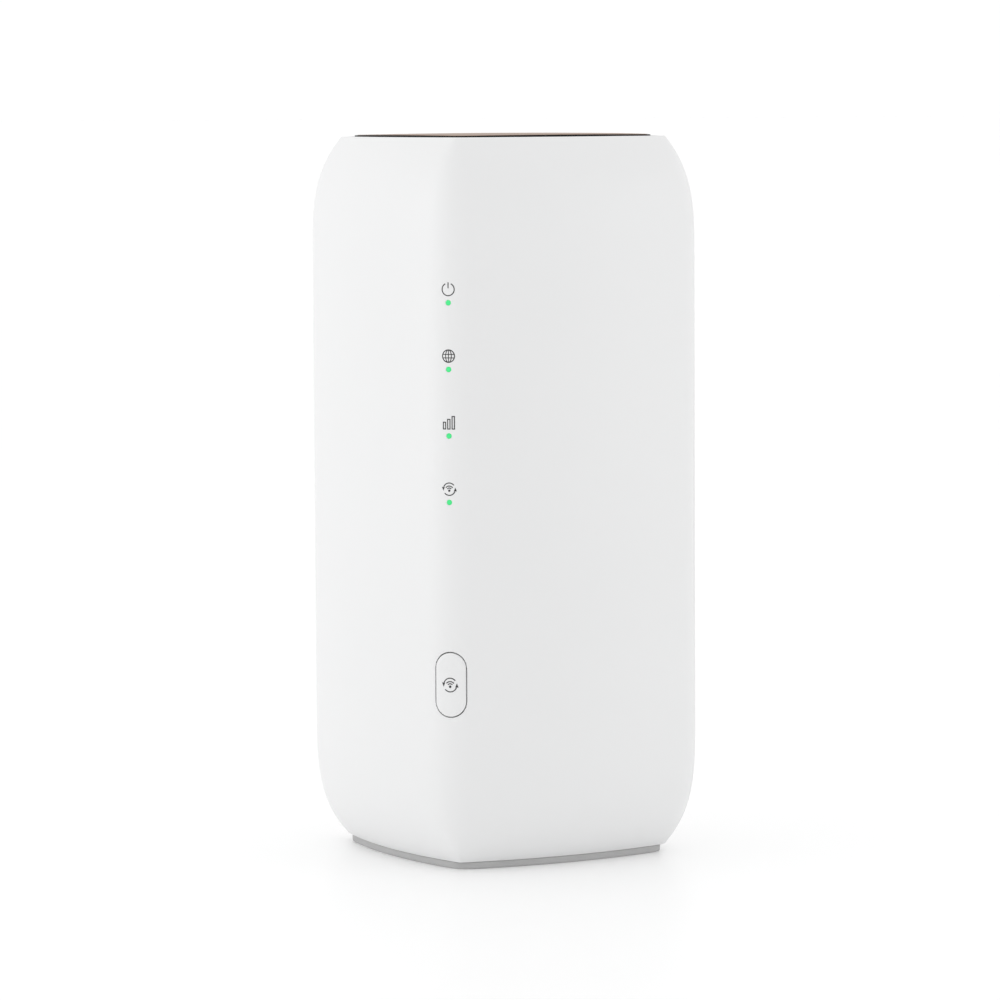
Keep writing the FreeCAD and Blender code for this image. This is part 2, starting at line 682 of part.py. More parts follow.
# ---------------------------------------------------------------- trays and carrier


def tray_openings(owner, name, top):
    """Two air openings, left and right of the main board, through a tray."""
    for side, sign in (("left", "-"), ("right", "")):
        duct = sketch_on(owner, f"{name}_duct_{side}", x=f"{sign}duct_offset", z=top, turn=45.0)
        draw_rectangle(duct, "duct_half", "duct_half")
        pocket(owner, f"{name}_duct_{side}_cut", duct, "tray_thick")


def rails(name, low):
    """Two grooved blocks that hold an edge of the main board."""
    solids = []
    for end, sign in (("front", "-"), ("rear", "")):
        rail = block(
            f"{name}_{end}", ("rail_width", "rail_length", "rail_height"),
            ("board_face - board_thick / 2 - rail_width / 2", f"{sign}rail_reach - rail_length / 2", low))
        solids.append(rail)
    return solids


def board_groove(name, low, height):
    """The space that the main board's edge takes in a tray's rails."""
    lengths = ("board_thick + 2 * fit_gap", "2 * rail_reach + rail_length + 2", height)
    corner = ("board_face - board_thick - fit_gap", "-rail_reach - rail_length / 2 - 1", low)
    return block(name, lengths, corner)


def on_axes(reach):
    """Four places in plan, one on each half axis."""
    return ((reach, "0"), ("0", reach), (f"-{reach}", "0"), ("0", f"-{reach}"))


def boss_ring(name, radius, low, height, reach):
    """Four upright cylinders on the axes."""
    spots = on_axes(reach)
    return [rod(f"{name}_{k}", radius, height, (x, y, low)) for k, (x, y) in enumerate(spots)]


def make_lower_tray():
    top = "lower_tray + tray_thick"
    plate = bowed_plate("lower_body", "lower_half", "tray_corner", "lower_tray", "tray_thick")
    tray_openings(plate, "lower", top)
    slot = sketch_on(plate, "tab_slot", x="board_face + 1", z=top)
    draw_rectangle(slot, "8", "tab_width + 2")
    pocket(plate, "tab_slot_cut", slot, "tray_thick")
    base_top = "foot_height + base_thick"
    bosses = boss_ring("lower_boss", "boss_radius", base_top, f"lower_tray - ({base_top})", "boss_reach")
    pilots = boss_ring("lower_pilot", "screw_shank", base_top, "screw_length", "boss_reach")
    groove = board_groove("lower_groove", f"{top} + rail_height - 3", "4")
    joined = fuse("lower_joined", plate, *bosses, *rails("lower_rail", top))
    node(cut("lower_cut", joined, groove, *pilots), "lower_tray")


def make_upper_tray():
    plate = bowed_plate("upper_body", "upper_half", "tray_corner", "upper_tray", "tray_thick")
    tray_openings(plate, "upper", "upper_tray + tray_thick")
    top = "upper_tray + tray_thick"
    reach = "grille_screw_reach"
    bosses = boss_ring("upper_boss", "boss_radius", top, f"grille_low - ({top})", reach)
    pilots = boss_ring("upper_pilot", "screw_shank", "grille_low - screw_length", "screw_length + 2", reach)
    low = "upper_tray - rail_height"
    groove = board_groove("upper_groove", f"{low} - 1", "4")
    joined = fuse("upper_joined", plate, *bosses, *rails("upper_rail", low))
    node(cut("upper_cut", joined, groove, *pilots), "upper_tray")


def make_carrier():
    """The upright beam behind the front board, with a window for the ribbon cable."""
    beam = body("carrier_body")
    low, high = "lower_tray + tray_thick + fit_gap", "upper_tray - fit_gap"
    outline = sketch_on(
        beam, "carrier_outline", "XZ_Plane", y=f"({low} + {high}) / 2", z="carrier_back")
    draw_rectangle(outline, "carrier_width", f"{high} - ({low})")
    pad(beam, "carrier_pad", outline, "carrier_depth")
    window = sketch_on(beam, "ribbon_window", "XZ_Plane", y="87", z="carrier_back + carrier_depth")
    draw_rectangle(window, "11", "14")
    pocket(beam, "ribbon_window_cut", window, "carrier_depth")
    for name, height in (("low", "front_low + 4"), ("high", "front_high - 4")):
        pilot = sketch_on(beam, "carrier_pilot_" + name, "XZ_Plane", y=height, z="carrier_back + carrier_depth")
        draw_circle(pilot, "small_shank")
        pocket(beam, f"carrier_pilot_{name}_cut", pilot, "carrier_depth")
    node(beam, "front_carrier")


# ---------------------------------------------------------------- front board, lights and button


def make_front_board():
    board = body("front_board_body")
    outline = sketch_on(
        board, "front_board_outline", "XZ_Plane", y="(front_low + front_high) / 2",
        z="front_face - front_thick")
    draw_rectangle(outline, "front_width", "front_high - front_low")
    pad(board, "front_board_pad", outline, "front_thick")
    for name, height in (("low", "front_low + 4"), ("high", "front_high - 4")):
        hole = sketch_on(board, "front_hole_" + name, "XZ_Plane", y=height, z="front_face")
        draw_circle(hole, "small_shank + fit_gap")
        pocket(board, f"front_hole_{name}_cut", hole, "front_thick")
    node(board, "front_board")


def make_lights():
    """Four light emitters, and the clear moulding that carries their light to the housing."""
    emitters = [
        block(f"emitter_{k}", ("1.6", "0.6", "0.8"),
              ("-0.8", "-front_face - 0.6", f"light_top - {k} * light_pitch - 0.4"))
        for k in LIGHTS
    ]
    node(group("emitters", *emitters), "indicator_leds")
    spine = block(
        "light_spine", ("spine_width", "spine_depth", "3 * light_pitch + 2 * spine_end"),
        ("-spine_width / 2", "-spine_back - spine_depth", "light_top - 3 * light_pitch - spine_end"))
    pipes = []
    for k in LIGHTS:
        height = f"light_top - {k} * light_pitch"
        pipes.append(rod(f"pipe_root_{k}", "pipe_radius", "spine_back - pipe_start + 0.5",
                         ("0", "-pipe_start", height), FORWARD))
        pipes.append(rod(f"pipe_tip_{k}", "light_radius", f"{APEX} - spine_back",
                         ("0", "-spine_back", height), FORWARD))
    node(fuse("light_pipes", spine, *pipes), "light_guide")


def tactile_switch(name, face, x, z, turn, sign):
    """A switch body with a well, and its plunger, standing on the y plane face."""
    half = "switch_size / 2"
    low = f"{face} - switch_depth" if sign < 0 else face
    case = block(name + "_case", ("switch_size", "switch_depth", "switch_size"),
                 (f"{x} - {half}", low, f"{z} - {half}"))
    front = f"{face} {'-' if sign < 0 else '+'} switch_depth"
    back = "+" if sign < 0 else "-"
    well = rod(name + "_well", "plunger_radius + fit_gap", "switch_well + 1",
               (x, f"{front} {back} switch_well", z), turn)
    plunger = rod(name + "_rod", "plunger_radius", "plunger_proud + plunger_inside",
                  (x, f"{front} {back} plunger_inside", z), turn)
    SWITCH_CASES.append(cut(name + "_hollow", case, well))
    node(plunger, name + "_plunger")


def make_pairing_button():
    """The oval cap on the front corner, its retaining flange, and the stem that meets the switch."""
    tactile_switch("pairing_switch", "-front_face", "0", "button_height", FORWARD, -1)
    low, tall = "button_height - button_length / 2 - 2", "button_length + 4"
    middle = ("0", str(-CORNER_AXIS), low)
    face = rod("button_face", "corner_radius + button_proud", tall, middle)
    back = rod("button_back", "button_inner", tall, middle)
    front = str(-APEX - 3)
    oval = stadium("button_oval", "button_width", "button_length", "button_height", front, "12")
    cap = common("button_cap", cut("button_skin", face, back), oval)
    wide = stadium("flange_oval", "button_width + 2 * flange_extra", "button_length + 2 * flange_extra",
                   "button_height", front, "12")
    flange_face = rod("flange_face", "flange_outer", tall, middle)
    flange = common("button_flange", cut("flange_skin", flange_face, back), wide)
    start = "front_face + switch_depth + plunger_proud + touch_gap"
    stem = rod("button_stem", "2", f"{CORNER_AXIS} + button_inner + 0.5 - ({start})",
               ("0", f"-({start})", "button_height"), FORWARD)
    node(fuse("button_joined", cap, flange, stem), "pairing_button")


def path_wire(points, share=0.45):
    """Straight runs through the points, joined by tangent arcs as large as the runs allow."""
    spots = [Vector(*p) for p in points]
    edges = []
    last = spots[0]
    for k in range(1, len(spots) - 1):
        back, ahead = spots[k - 1] - spots[k], spots[k + 1] - spots[k]
        trim = share * min(back.Length, ahead.Length)
        start = spots[k] + back.normalize() * trim
        end = spots[k] + ahead.normalize() * trim
        bisector = (back + ahead).normalize()
        half = back.getAngle(ahead) / 2
        radius = trim * math.tan(half)
        middle = spots[k] + bisector * (radius / math.sin(half) - radius)
        edges.append(Part.LineSegment(last, start).toShape())
        edges.append(Part.Arc(start, middle, end).toShape())
        last = end
    edges.append(Part.LineSegment(last, spots[-1]).toShape())
    return Part.Wire(edges)


def swept(name, points, section):
    """A solid swept along a path from a closed section placed at its start."""
    path = path_wire(points)
    start = Vector(*points[0])
    heading = (Vector(*points[1]) - start).normalize()
    section.Placement = Placement(start, Rotation(Vector(0, 0, 1), heading))
    solid = doc.addObject("Part::Feature", name)
    solid.Shape = path.makePipeShell([section], True, False)
    return solid


def coax(name, points):
    """One aerial lead along its route."""
    return swept(name, points, Part.Wire(Part.makeCircle(size("coax_radius"))))


def make_ribbon():
    """The flat cable between the front board and the main board, and its two connectors."""
    board_back = -(size("front_face") - size("front_thick"))
    entry = size("board_face") + 1.1
    half, thin, height = 3.0, 0.2, 87.0
    front = block("ribbon_front", ("8", "2", "4"), ("-4", f"{board_back}", f"{height} - 2"))
    rear = block("ribbon_rear", ("2", "5", "8"), ("board_face", "-36", f"{height} - 4"))
    node(group("ribbon_sockets", front, rear), "ribbon_connectors")
    top = board_back + 2.0
    route = [(0.0, top), (0.0, top + 4.0), (entry, -39.5), (entry, -36.0)]
    path = path_wire([(x, y, height - half) for x, y in route])
    start = Vector(0, top, height - half)
    strip = Part.makePolygon([
        start + Vector(-thin / 2, 0, 0), start + Vector(thin / 2, 0, 0),
        start + Vector(thin / 2, 0, 2 * half), start + Vector(-thin / 2, 0, 2 * half),
        start + Vector(-thin / 2, 0, 0)])
    ribbon = doc.addObject("Part::Feature", "ribbon")
    ribbon.Shape = path.makePipeShell([strip], True, False)
    node(ribbon, "ribbon_cable")


# ---------------------------------------------------------------- fasteners


def screw(name, start, turn, shank_radius, head_radius, thick, length):
    """A pan-headed screw with a cross recess; its shank runs along the turned +Z from start."""
    shank = rod(name + "_shank", shank_radius, length, ("0", "0", "0"))
    head = rod(name + "_head", head_radius, thick, ("0", "0", f"-{thick}"))
    arm, slit, deep = f"{head_radius} * 1.1", f"{head_radius} * 0.28", f"{thick} * 0.55"
    arms = [
        block(f"{name}_arm_{k}", (*sides, deep), (f"-{sides[0]} / 2", f"-{sides[1]} / 2", f"-{thick}"))
        for k, sides in enumerate(((arm, slit), (slit, arm)))
    ]
    solid = cut(name, fuse(name + "_blank", head, shank), *arms)
    return place(solid, *start, turn=turn)


def small_screw(name, start, turn):
    return screw(name, start, turn, "small_shank", "small_head", "small_thick", "small_length")


def case_screw(name, start, turn):
    return screw(name, start, turn, "screw_shank", "screw_head", "head_thick", "screw_length")


def make_case_screws():
    """Four screws hold the base to the lower tray, under the foot, and four the grille to the upper tray."""
    low = [
        case_screw(f"base_screw_{k}", (x, y, "foot_height + head_thick"), UPRIGHT)
        for k, (x, y) in enumerate(on_axes("boss_reach"))
    ]
    high = [
        case_screw(f"grille_screw_{k}", (x, y, "grille_low + grille_thick"), DOWNWARD)
        for k, (x, y) in enumerate(on_axes("grille_screw_reach"))
    ]
    node(group("case_screw_set", *low, *high), "case_screws")


# ---------------------------------------------------------------- socket panel and its sockets


def make_panel():
    """The recessed panel: a shallow tub behind the rear window, cut for every socket."""
    tub = window_prism("tub", "window_width + 2 * tub_wall", "window_low - tub_wall",
                       "window_high + tub_wall", "panel_face - panel_thick", "14")
    hollow = window_prism("tub_hollow", "window_width", "window_low", "window_high", "panel_face", "20")
    limit = housing_form("panel_limit", size("wall") + size("fit_gap"), 1.0)
    shell = cut("panel_shell", common("panel_trim", tub, limit), hollow)
    back, depth = "panel_face - panel_thick - 1", "panel_thick + 2"
    lan_holes = [
        block(f"lan_hole_{k}", ("lan_tall + 2 * port_gap", depth, "lan_wide + 2 * port_gap"),
              ("board_face - port_gap", back, f"lan_low + {k} * lan_pitch - lan_wide / 2 - port_gap"))
        for k in range(2)
    ]
    power_hole = rod("power_hole", "power_radius + port_gap", depth, ("0", back, "power_socket"), REARWARD)
    key_hole = block(
        "key_hole", ("key_width + 2 * port_gap", depth, "key_length + 2 * port_gap"),
        ("-key_width / 2 - port_gap", back, "switch_height - key_length / 2 - port_gap"))
    reset_hole = rod("reset_opening", "reset_hole", depth, ("reset_x", back, "reset_height"), REARWARD)
    aerial_holes = [
        rod(f"aerial_hole_{k}", "aerial_radius + fit_gap", depth,
            ("0", back, f"aerial_low + {k} * aerial_pitch"), REARWARD)
        for k in range(2)
    ]
    ears = []
    for side, sign in (("left", "-ear_outer"), ("right", "ear_inner")):
        foot = block(f"ear_foot_{side}", ("ear_outer - ear_inner", "hinge_y - panel_face", "2 * knuckle"),
                     (sign, "panel_face", "hinge_z - knuckle"))
        tip = rod(f"ear_tip_{side}", "knuckle", "ear_outer - ear_inner", (sign, "hinge_y", "hinge_z"), SIDEWAYS)
        ears += [foot, tip]
    pin_hole = rod("ear_hole", "hinge_pin", "40", ("-20", "hinge_y", "hinge_z"), SIDEWAYS)
    joined = fuse("panel_joined", shell, *ears)
    node(cut("panel_cut", joined, *lan_holes, power_hole, key_hole, reset_hole, *aerial_holes, pin_hole),
         "socket_panel")


def network_socket(k):
    """One network socket: metal shell, moulded insert with the plug cavity, and its contacts."""
    name = ("lan_lower", "lan_upper")[k]
    middle = f"(lan_low + {k} * lan_pitch)"
    front = "panel_face + lan_proud"
    case = block(
        name + "_case", ("lan_tall", "lan_deep", "lan_wide"),
        ("board_face", f"{front} - lan_deep", f"{middle} - lan_wide / 2"))
    room = block(
        name + "_room", ("lan_tall", "lan_deep - lan_shell + 1", "lan_wide - 2 * lan_shell"),
        ("board_face - lan_shell", f"{front} - lan_deep + lan_shell", f"{middle} - lan_wide / 2 + lan_shell"))
    shield = cut(name + "_shield", case, room)
    insert = block(
        name + "_insert_block", ("lan_tall - lan_shell", "lan_deep - 2 * lan_shell", "lan_wide - 2 * lan_shell"),
        ("board_face", f"{front} - lan_deep + lan_shell", f"{middle} - lan_wide / 2 + lan_shell"))
    cavity = block(
        name + "_cavity", ("cavity_tall", "cavity_deep + 1", "cavity_wide"),
        ("2.6 - cavity_tall", f"{front} - cavity_deep", f"{middle} - cavity_wide / 2"))
    latch = block(
        name + "_latch", ("latch_tall + 1", "cavity_deep + 1", "latch_wide"),
        ("1.6", f"{front} - cavity_deep", f"{middle} - latch_wide / 2"))
    node(cut(name + "_insert_cut", insert, cavity, latch), name + "_insert")
    wires = []
    for n in range(int(size("contact_count"))):
        offset = f"({n} - (contact_count - 1) / 2) * contact_pitch - contact_size / 2"
        wires.append(block(
            f"{name}_contact_{n}", ("contact_size", "8", "contact_size"),
            ("2.6 - cavity_tall", f"{front} - cavity_deep", f"{middle} + {offset}")))
    return shield, wires


def make_sockets():
    lower, upper = network_socket(0), network_socket(1)
    node(group("lan_shield_set", lower[0], upper[0]), "lan_shields")
    node(group("lan_contact_set", *lower[1], *upper[1]), "lan_contacts")

    rear = "panel_face - panel_thick"
    case = block(
        "power_case", ("power_body + 2.2", "power_deep", "power_body"),
        ("board_face", f"{rear} - power_deep - fit_gap", "power_socket - power_body / 2"))
    nose = rod("power_nose", "power_radius", "panel_thick + fit_gap + 1",
               ("0", f"{rear} - fit_gap - 1", "power_socket"), REARWARD)
    bore = rod("power_socket_bore", "power_bore", "11", ("0", "panel_face - 10", "power_socket"), REARWARD)
    node(cut("power_socket_cut", fuse("power_joined", case, nose), bore), "power_socket")
    node(rod("power_centre", "power_pin", "9", ("0", "panel_face - 10", "power_socket"), REARWARD),
         "power_socket_pin")

    reset_switch()
    power_switch()


def power_switch():
    """The latching switch and the button on its stem."""
    rear = "panel_face - panel_thick - 1.4"
    case = block(
        "latch_case", ("lan_tall - 1", "latch_deep", "13"),
        ("board_face", f"{rear} - latch_deep - latch_travel", "switch_height - 6.5"))
    front = f"{rear} - latch_travel"
    side = "2 * key_stem + 2 * fit_gap"
    well = block("latch_well", (side, "8", side),
                 ("-key_stem - fit_gap", f"{front} - 7", "switch_height - key_stem - fit_gap"))
    node(cut("latch_cut", case, well), "power_switch_body")
    stem = block("key_stem_bar", ("2 * key_stem", f"panel_face + 0.5 - ({front}) + 4", "2 * key_stem"),
                 ("-key_stem", f"{front} - 4", "switch_height - key_stem"))
    cap = body("key_cap")
    outline = sketch_on(cap, "key_outline", "XZ_Plane", y="switch_height", z="-(panel_face - 1)")
    draw_rectangle(outline, "key_width", "key_length")
    pad(cap, "key_pad", outline, "key_proud + 1", reverse=True)
    round_along_y(cap, "key_corners", "key_corner")
    node(fuse("key_joined", cap, stem), "power_button")


def reset_switch():
    """The switch behind the pin hole, standing on the main board's rear edge."""
    face = "panel_face - panel_thick - plunger_proud - switch_depth - 0.6"
    half = "switch_size / 2"
    case = block(
        "reset_case", ("5", "switch_depth", "switch_size"),
        ("board_face", face, f"reset_height - {half}"))
    front = f"{face} + switch_depth"
    well = rod("reset_well", "1.1", "switch_well + 1", ("reset_x", f"{front} - switch_well", "reset_height"),
               REARWARD)
    SWITCH_CASES.append(cut("reset_cut", case, well))
    node(group("switch_cases", *SWITCH_CASES), "tactile_switch_bodies")
    node(rod("reset_rod", "1", "plunger_proud + plunger_inside",
             ("reset_x", f"{front} - plunger_inside", "reset_height"), REARWARD), "reset_switch_plunger")


def make_antenna_sockets():
    """Two threaded coaxial sockets through the panel, each with its nut."""
    barrels, nuts = [], []
    for k in range(2):
        height = f"aerial_low + {k} * aerial_pitch"
        start = "panel_face - panel_thick - aerial_tail"
        root = rod(f"aerial_root_{k}", "aerial_root", "nut_thick + panel_thick + aerial_tail + 1",
                   ("0", start, height), REARWARD)
        thread = rod(f"aerial_thread_{k}", "aerial_radius", "aerial_length - nut_thick",
                     ("0", "panel_face + nut_thick", height), REARWARD)
        flange = rod(f"aerial_flange_{k}", "nut_flat", "nut_thick",
                     ("0", "panel_face - panel_thick - nut_thick", height), REARWARD)
        bore = rod(f"aerial_bore_{k}", "aerial_bore", "6", ("0", "panel_face + aerial_length - 5", height),
                   REARWARD)
        core = rod(f"aerial_core_{k}", "aerial_core", "4", ("0", "panel_face + aerial_length - 5.5", height),
                   REARWARD)
        hollow = cut(f"aerial_hollow_{k}", fuse(f"aerial_joined_{k}", root, thread, flange), bore)
        barrels.append(fuse(f"aerial_socket_{k}", hollow, core))
        nut = doc.addObject("Part::Prism", f"aerial_nut_{k}")
        nut.Polygon = 6
        link(nut, "Circumradius", "nut_flat / cos(30)")
        link(nut, "Height", "nut_thick")
        place(nut, "0", "panel_face", height, turn=REARWARD)
        hole = rod(f"aerial_nut_hole_{k}", "aerial_root + touch_gap", "nut_thick + 2",
                   ("0", "panel_face - 1", height), REARWARD)
        nuts.append(cut(f"aerial_nut_cut_{k}", nut, hole))
    node(barrels[0], "antenna_socket_lower")
    node(barrels[1], "antenna_socket_upper")
    node(group("aerial_nuts", *nuts), "antenna_socket_nuts")


def make_antenna_cover():
    """The flap that closes the upper part of the rear window, flush with the housing."""
    skin = cut("cover_skin", housing_form("cover_outer", 0.0, 0.0),
               housing_form("cover_inner", size("cover_thick"), 1.0))
    upper = window_prism("cover_upper", "window_width - 2 * cover_gap", "cover_step",
                         "window_high - cover_gap", "50", "20")
    neck = "ear_inner - cover_gap"
    lower = block("cover_lower", (f"2 * ({neck})", "20", "cover_step - cover_low + 1"),
                  (f"-({neck})", "50", "cover_low"))
    leaf = common("cover_leaf", skin, fuse("cover_outline", upper, lower))
    barrel = rod("cover_barrel", "knuckle", f"2 * ({neck})", (f"-({neck})", "hinge_y", "hinge_z"), SIDEWAYS)
    web_space = block(
        "cover_web_space", (f"2 * ({neck})", "12", "2.4"), (f"-({neck})", "hinge_y", "hinge_z - 1.6"))
    web = common("cover_web", web_space, housing_form("cover_web_limit", size("cover_thick") / 2, 1.0))
    hole = rod("cover_pin_hole", "hinge_pin + hinge_gap", "40", ("-20", "hinge_y", "hinge_z"), SIDEWAYS)
    node(cut("cover_cut", fuse("cover_joined", leaf, barrel, web), hole), "antenna_cover")
    node(rod("hinge_rod", "hinge_pin", "2 * ear_outer", ("-ear_outer", "hinge_y", "hinge_z"), SIDEWAYS),
         "antenna_cover_pin")


# ---------------------------------------------------------------- main board and what it carries


def make_main_board():
    board = body("main_board_body")
    x_back = "board_face - board_thick"
    outline = sketch_on(
        board, "main_outline", "YZ_Plane", x="(board_rear - board_front) / 2",
        y="(board_low + board_high) / 2", z=x_back)
    draw_rectangle(outline, "board_rear + board_front", "board_high - board_low")
    pad(board, "main_pad", outline, "board_thick")
    tab = sketch_on(board, "tab_outline", "YZ_Plane", y="(tab_low + board_low + 1) / 2", z=x_back)
    draw_rectangle(tab, "tab_width", "board_low + 1 - tab_low")
    pad(board, "tab_pad", tab, "board_thick")
    node(board, "main_board")


def shield_can(name, y, z, side, face, direction, height):
    """A thin metal can standing on a board face, open towards the board."""
    low = face if direction > 0 else f"{face} - {height}"
    can = block(name + "_can", (height, side, side), (low, f"{y} - ({side}) / 2", f"{z} - ({side}) / 2"))
    inside = f"({side}) - 2 * can_sheet"
    start = f"{face} - 1" if direction > 0 else f"{face} - {height} + can_sheet"
    room = block(name + "_room", (f"{height} - can_sheet + 1", inside, inside),
                 (start, f"{y} - ({inside}) / 2", f"{z} - ({inside}) / 2"))
    return cut(name + "_cut", can, room)


def chip(name, y, z, wide, tall, face="board_face"):
    return block(name, ("chip_thick", wide, tall), (face, f"{y} - ({wide}) / 2", f"{z} - ({tall}) / 2"))


def make_chips():
    node(chip("soc", "0", "soc_height - 4", "soc_size", "soc_size"), "processor_chip")
    memory = [chip(f"memory_{k}", f"{k} * 20 - 10", "soc_height + 11", "9", "7") for k in range(2)]
    radios = [chip(f"radio_{k}", f"{k} * 13 - 6.5", "wifi_height", "wifi_size", "wifi_size") for k in range(2)]
    node(group("small_chips", *memory, *radios), "memory_and_radio_chips")
    node(shield_can("soc_shield", "0", "soc_height", "soc_can", "board_face", 1, "can_height"),
         "processor_shield")
    node(shield_can("wifi_shield", "0", "wifi_height", "wifi_can", "board_face", 1, "can_height"),
         "radio_shield")
    coils = [
        block(f"magnetic_{k}", ("6", "9", "14"), ("board_face", "20", f"lan_low + {k} * lan_pitch - 7"))
        for k in range(2)
    ]
    node(group("magnetics", *coils), "network_transformers")
    inductors = [
        block(f"inductor_{k}", ("4.2", "6.5", "6.5"), ("board_face", f"{14 - 9 * k}", "34")) for k in range(3)
    ]
    node(group("inductors", *inductors), "power_inductors")
    cans = [
        rod(f"capacitor_{k}", "4", "11", ("board_face", f"{16 - 10 * k}", "50"), SIDEWAYS) for k in range(3)
    ]
    node(group("capacitors", *cans), "power_capacitors")


def finned_sink(name, depth, rear, low, high, start, fins, direction, fin_count):
    """A heatsink: a base plate along the board, with upright fins on its far side."""
    sink = body(name + "_body")
    base_start = start if direction > 0 else f"{start} - sink_base"
    middle = f"{rear} - ({depth}) / 2"
    centre = f"({low} + {high}) / 2"
    plate = sketch_on(sink, name + "_plate", "YZ_Plane", x=middle, y=centre, z=base_start)
    draw_rectangle(plate, depth, f"{high} - ({low})")
    pad(sink, name + "_base", plate, "sink_base")
    face = f"{start} + sink_base" if direction > 0 else f"{start} - sink_base"
    first = sketch_on(sink, name + "_fin", "YZ_Plane", x=f"{rear} - ({depth}) + fin_thick / 2", y=centre, z=face)
    draw_rectangle(first, "fin_thick", f"{high} - ({low})")
    fin = pad(sink, name + "_fin_pad", first, fins, reverse=direction < 0)
    row = sink.newObject("PartDesign::LinearPattern", name + "_fins")
    row.Originals = [fin]
    row.Direction = (first, ["H_Axis"])
    row.Occurrences = fin_count
    link(row, "Length", f"({depth}) - fin_thick")
    sink.Tip = row
    doc.recompute()
    return sink


def make_heatsinks():
    top = "board_face + can_height + pad_thick"
    node(finned_sink("main_sink", "sink_depth", "sink_rear", "sink_low", "sink_high", top, "fin_height", 1, 9),
         "main_heatsink")
    back = "board_face - board_thick - modem_rise - modem_thick - modem_can - pad_thick"
    low, high = "modem_low - 4", "modem_low + modem_length - modem_bare"
    node(finned_sink("modem_sink_part", "modem_sink", "modem_sink / 2", low, high, back, "modem_fin", -1, 7),
         "modem_heatsink")
    pads = [
        block("soc_pad", ("pad_thick", "26", "26"), ("board_face + can_height", "-13", "soc_height - 13")),
        block("radio_pad", ("pad_thick", "24", "20"), ("board_face + can_height", "-12", "wifi_height - 12")),
        block("modem_pad", ("pad_thick", "24", "36"), (back, "-12", "modem_low + 3")),
    ]
    node(group("pads", *pads), "thermal_pads")


def make_modem():
    """The plug-in modem behind the main board, its edge socket, can and stand-off."""
    rear = "board_face - board_thick"
    face = f"{rear} - modem_rise"
    node(block("modem_plate", ("modem_thick", "modem_width", "modem_length"),
               (f"{face} - modem_thick", "-modem_width / 2", "modem_low")), "modem_board")
    slot_block = block("modem_slot", ("modem_rise + modem_thick + 1", "22", "8"),
                       (f"{face} - modem_thick - 1", "-11", "modem_low - 4"))
    slot_room = block("modem_slot_room", ("modem_thick + 2 * touch_gap", "40", "6"),
                      (f"{face} - modem_thick - touch_gap", "-20", "modem_low - touch_gap"))
    trim = block("modem_slot_trim", ("2", "40", "6"), (f"{face} - modem_thick - 2", "-20", "modem_low"))
    node(cut("modem_slot_cut", slot_block, slot_room, trim), "modem_socket")
    can_face = f"{face} - modem_thick"
    can = block(
        "modem_can_block", ("modem_can", "modem_width - 2", "modem_length - modem_bare - 5"),
        (f"{can_face} - modem_can", "-modem_width / 2 + 1", "modem_low + 4.5"))
    room = block(
        "modem_can_room", ("modem_can", "modem_width - 2 - 2 * can_sheet",
                           "modem_length - modem_bare - 5 - 2 * can_sheet"),
        (f"{can_face} - modem_can + can_sheet", "-modem_width / 2 + 1 + can_sheet", "modem_low + 4.5 + can_sheet"))
    node(cut("modem_can_cut", can, room), "modem_shield")
    receptacles = [
        block(f"receptacle_{k}", ("plug_thick", "plug_size", "plug_size"),
              (f"{can_face} - plug_thick", f"({k} - 1.5) * plug_pitch - plug_size / 2",
               "modem_low + modem_length - modem_bare / 2 - plug_size / 2"))
        for k in range(4)
    ]
    radio = [
        block(f"radio_receptacle_{k}", ("plug_thick", "plug_size", "plug_size"),
              ("board_face", f"({k} - 0.5) * plug_pitch - plug_size / 2 - 26", "190"))
        for k in range(2)
    ]
    node(group("receptacles", *receptacles, *radio), "coax_receptacles")
    standoff = rod("modem_post", "2.2", "modem_rise", (rear, "0", "modem_low + modem_length - 1.5"), LEFTWARD)
    node(standoff, "modem_standoff")


def make_card_socket():
    case = block("card_case", ("card_depth", "card_width", "card_high - tab_low"),
                 ("board_face", "-card_width / 2", "tab_low"))
    slot = block("card_slot_room", ("card_thin", "card_slot", "card_reach + 1"),
                 ("board_face + (card_depth - card_thin) / 2", "-card_slot / 2", "tab_low - 1"))
    node(cut("card_cut", case, slot), "card_socket")


# ---------------------------------------------------------------- antennas and their leads

ANTENNAS = (("front_left", 225), ("front_right", 315), ("rear_right", 45), ("rear_left", 135))


def make_antennas():
    """Four antenna boards inside the broad sides, each with a copper pattern on its outside."""
    patches = []
    for label, facing in ANTENNAS:
        turn = Rotation(Vector(0, 0, 1), facing)
        board = block(
            f"antenna_{label}_plate", ("panel_board", "panel_wide", "panel_high - panel_low"),
            ("0", "0", "0"), turn)
        set_on_side(board, facing, "panel_reach - panel_board", "-panel_wide / 2", "panel_low")
        node(board, f"antenna_board_{label}")
        for k, (across, low, wide, tall) in enumerate((
                ("-14", "150", "28", "9"), ("-14", "150", "8", "46"), ("5", "166", "9", "30"),
                ("-12", "40", "10", "34"), ("-12", "40", "26", "7"))):
            patch = block(f"patch_{label}_{k}", ("trace_thick", wide, tall), ("0", "0", "0"), turn)
            set_on_side(patch, facing, "panel_reach", across, low)
            patches.append((label, patch))
    solids = []
    for label, facing in ANTENNAS:
        mine = [patch for owner, patch in patches if owner == label]
        solids.append(fuse(f"upper_pattern_{label}", *mine[:3]))
        solids.append(fuse(f"lower_pattern_{label}", *mine[3:]))
    node(group("patterns", *solids), "antenna_patterns")


def set_on_side(solid, facing, out, across, low):
    """Binds a turned block's corner: out along the side's normal, across along the side."""
    c, s = math.cos(math.radians(facing)), math.sin(math.radians(facing))
    link(solid, "Placement.Base.x", f"({out}) * {c:.6f} - ({across}) * {s:.6f}")
    link(solid, "Placement.Base.y", f"({out}) * {s:.6f} + ({across}) * {c:.6f}")
    link(solid, "Placement.Base.z", low)


